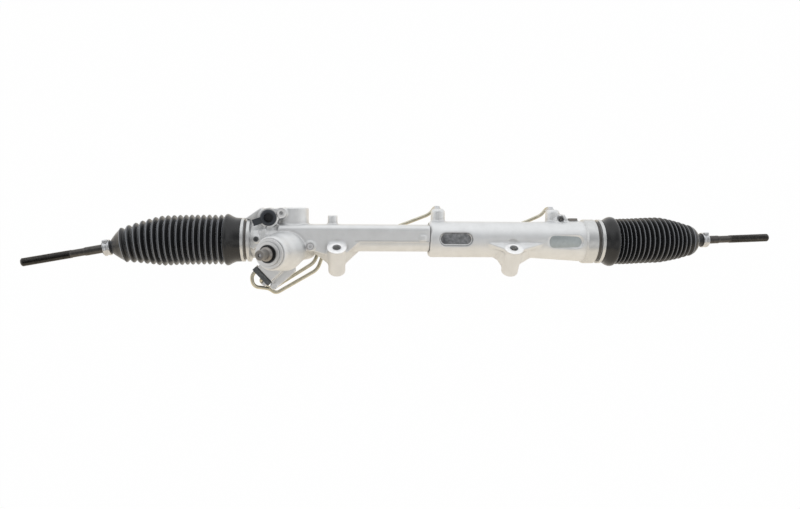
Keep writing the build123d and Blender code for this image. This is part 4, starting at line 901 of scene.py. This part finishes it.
# ---------------------------------------------------------------- assembly
cast_skin("valve_casting", "valve_housing", end_cutter("left"))
cast_skin("cylinder_casting", "cylinder_housing", end_cutter("right"))
turned_end("left")
turned_end("right")
recess()
milled_pad()
strip("parting_edge", -120.0, 8.0, PARTING_EDGE, TURNED_X)
strip("fin_tab", 260.0, 276.0, FIN_TAB, STEEL)
faced_ring("left_boss_face", upright(-BOLT_X, 0, 0), BOSS_TOP, 7.3, 16.4)
faced_ring("right_boss_face", upright(BOLT_X, 0, 0), BOSS_TOP, 7.3, 16.4)
faced_ring("feed_port_face", facing(-266, 39), 26.0, 9.7, 16.3)
faced_ring("clamp_ear_face", facing(-245, 47), 26.0, 3.4, 8.8)
dark_floor("clamp_ear_floor", facing(-245, 47), 25.5, 3.3)
for side in SIDES:
    bellow(side)
for side in SIDES:
    tie_rod(side)
    rod_clamp(side)


# ---------------------------------------------------------------- floor, light and camera
FLOOR_Z = -41.0                             # just under the pipes
FLOOR_REACH = 9000.0
FLOOR_COLOUR = (0.86, 0.80, 0.72)           # as diffuse light meets it
FLOOR_WARMTH = (1.0, 0.91, 0.775)           # as metal and rubber reflect it
FLOOR_WHITE = 0.99                          # share of plain white seen; the rest keeps the shadow
SOFT_COLOUR, SOFT_STRENGTH = (0.86, 0.92, 1.0), 0.75
ROOM_WAY = (-0.08, -0.86, 0.50)             # towards the room behind the camera
ROOM_FROM, ROOM_TO = 0.35, 0.95
ROOM_DARKNESS = 0.70                        # how much darker metal and rubber see that room
CAMERA_AT = (-140.06, -897.39, 791.39)
CAMERA_FORWARD = (0.0817, 0.7636, -0.6405)
CAMERA_ROLL = 4.10
SENSOR, LENS = 36.0, 31.0


def floor():
    """A pale floor that shows as plain white behind the object and keeps a faint shadow."""
    corners = [(x * FLOOR_REACH, y * FLOOR_REACH, FLOOR_Z) for x, y in ((-1, -1), (1, -1), (1, 1), (-1, 1))]
    mesh = mesh_from("floor", corners, [(0, 1, 2, 3)])
    piece = bpy.data.objects.new("floor", mesh)
    bpy.context.scene.collection.objects.link(piece)
    n = Nodes("floor")
    n.shader.inputs["Base Color"].default_value = (*FLOOR_COLOUR, 1)
    n.shader.inputs["Roughness"].default_value = 0.8
    white = n.add("ShaderNodeEmission")
    ray = n.add("ShaderNodeLightPath")
    n.link(n.mix(ray.outputs["Is Glossy Ray"], (1, 1, 1), FLOOR_WARMTH), white.inputs["Color"])
    seen = n.maths("MAXIMUM", ray.outputs["Is Camera Ray"], ray.outputs["Is Transmission Ray"])
    seen = n.maths("MAXIMUM", seen, ray.outputs["Is Glossy Ray"])
    blend = n.add("ShaderNodeMixShader")
    n.link(n.maths("MULTIPLY", seen, FLOOR_WHITE), blend.inputs[0])
    n.link(n.shader.outputs[0], blend.inputs[1])
    n.link(white.outputs[0], blend.inputs[2])
    n.link(blend.outputs[0], n.out.inputs["Surface"])
    mesh.materials.append(n.material)


def world():
    """White behind the object, a soft even light round it, and a darker room for reflections."""
    made = bpy.data.worlds.new("studio")
    made.use_nodes = True
    tree = made.node_tree
    tree.nodes.clear()
    new, link = tree.nodes.new, tree.links.new

    def maths(operation, a, b):
        node = new("ShaderNodeMath")
        node.operation = operation
        link(a, node.inputs[0])
        link(b, node.inputs[1])
        return node.outputs[0]

    soft, white = new("ShaderNodeBackground"), new("ShaderNodeBackground")
    soft.inputs["Color"].default_value = (*SOFT_COLOUR, 1)
    soft.inputs["Strength"].default_value = SOFT_STRENGTH
    white.inputs["Strength"].default_value = 1.0
    room_way = new("ShaderNodeVectorMath")
    room_way.operation = "DOT_PRODUCT"
    room_way.inputs[1].default_value = ROOM_WAY
    link(new("ShaderNodeTexCoord").outputs["Generated"], room_way.inputs[0])
    room = new("ShaderNodeMapRange")
    room.interpolation_type = "SMOOTHSTEP"
    for key, value in (("From Min", ROOM_FROM), ("From Max", ROOM_TO), ("To Min", 0.0), ("To Max", ROOM_DARKNESS)):
        room.inputs[key].default_value = value
    link(room_way.outputs["Value"], room.inputs["Value"])
    ray = new("ShaderNodeLightPath")
    seen = maths("MAXIMUM", ray.outputs["Is Camera Ray"], ray.outputs["Is Transmission Ray"])
    seen = maths("MAXIMUM", seen, ray.outputs["Is Glossy Ray"])
    tint = new("ShaderNodeMix")
    tint.data_type = "RGBA"
    tint.inputs["A"].default_value = (1, 1, 1, 1)
    tint.inputs["B"].default_value = (0, 0, 0, 1)
    link(maths("MULTIPLY", room.outputs["Result"], ray.outputs["Is Glossy Ray"]), tint.inputs["Factor"])
    link(tint.outputs["Result"], white.inputs["Color"])
    mix = new("ShaderNodeMixShader")
    link(seen, mix.inputs[0])
    link(soft.outputs[0], mix.inputs[1])
    link(white.outputs[0], mix.inputs[2])
    link(mix.outputs[0], new("ShaderNodeOutputWorld").inputs["Surface"])
    bpy.context.scene.world = made


def softbox(name, where, width, height, power, colour):
    """A rectangular lamp that looks at the origin."""
    light = bpy.data.lights.new(name, "AREA")
    light.shape = "RECTANGLE"
    light.size, light.size_y = width, height
    light.energy = power
    light.color = colour
    piece = bpy.data.objects.new(name, light)
    piece.location = where
    piece.rotation_mode = "QUATERNION"
    piece.rotation_quaternion = (-Vector(where)).to_track_quat("-Z", "Y")
    bpy.context.scene.collection.objects.link(piece)


def camera():
    """The camera 1.2 m from the rack, looking down at forty degrees, with its solved roll."""
    forward = Vector(CAMERA_FORWARD).normalized()
    right = forward.cross(Vector((0, 0, 1))).normalized()
    up = right.cross(forward)
    c, s = math.cos(math.radians(CAMERA_ROLL)), math.sin(math.radians(CAMERA_ROLL))
    data = bpy.data.cameras.new("camera")
    data.sensor_width = SENSOR
    data.lens = LENS
    data.clip_end = 60.0
    piece = bpy.data.objects.new("camera", data)
    piece.matrix_world = matrix(right * c + up * s, up * c - right * s, -forward, Vector(CAMERA_AT) * MM)
    bpy.context.scene.collection.objects.link(piece)
    bpy.context.scene.camera = piece


floor()
world()
softbox("top_light", (-0.3, 0.3, 1.7), 2.6, 1.4, 1.5, (0.97, 0.98, 1.0))
softbox("front_light", (0.2, -1.7, 0.9), 2.2, 0.9, 3, (1.0, 0.97, 0.93))
camera()
bpy.context.scene.view_settings.view_transform = "Standard"
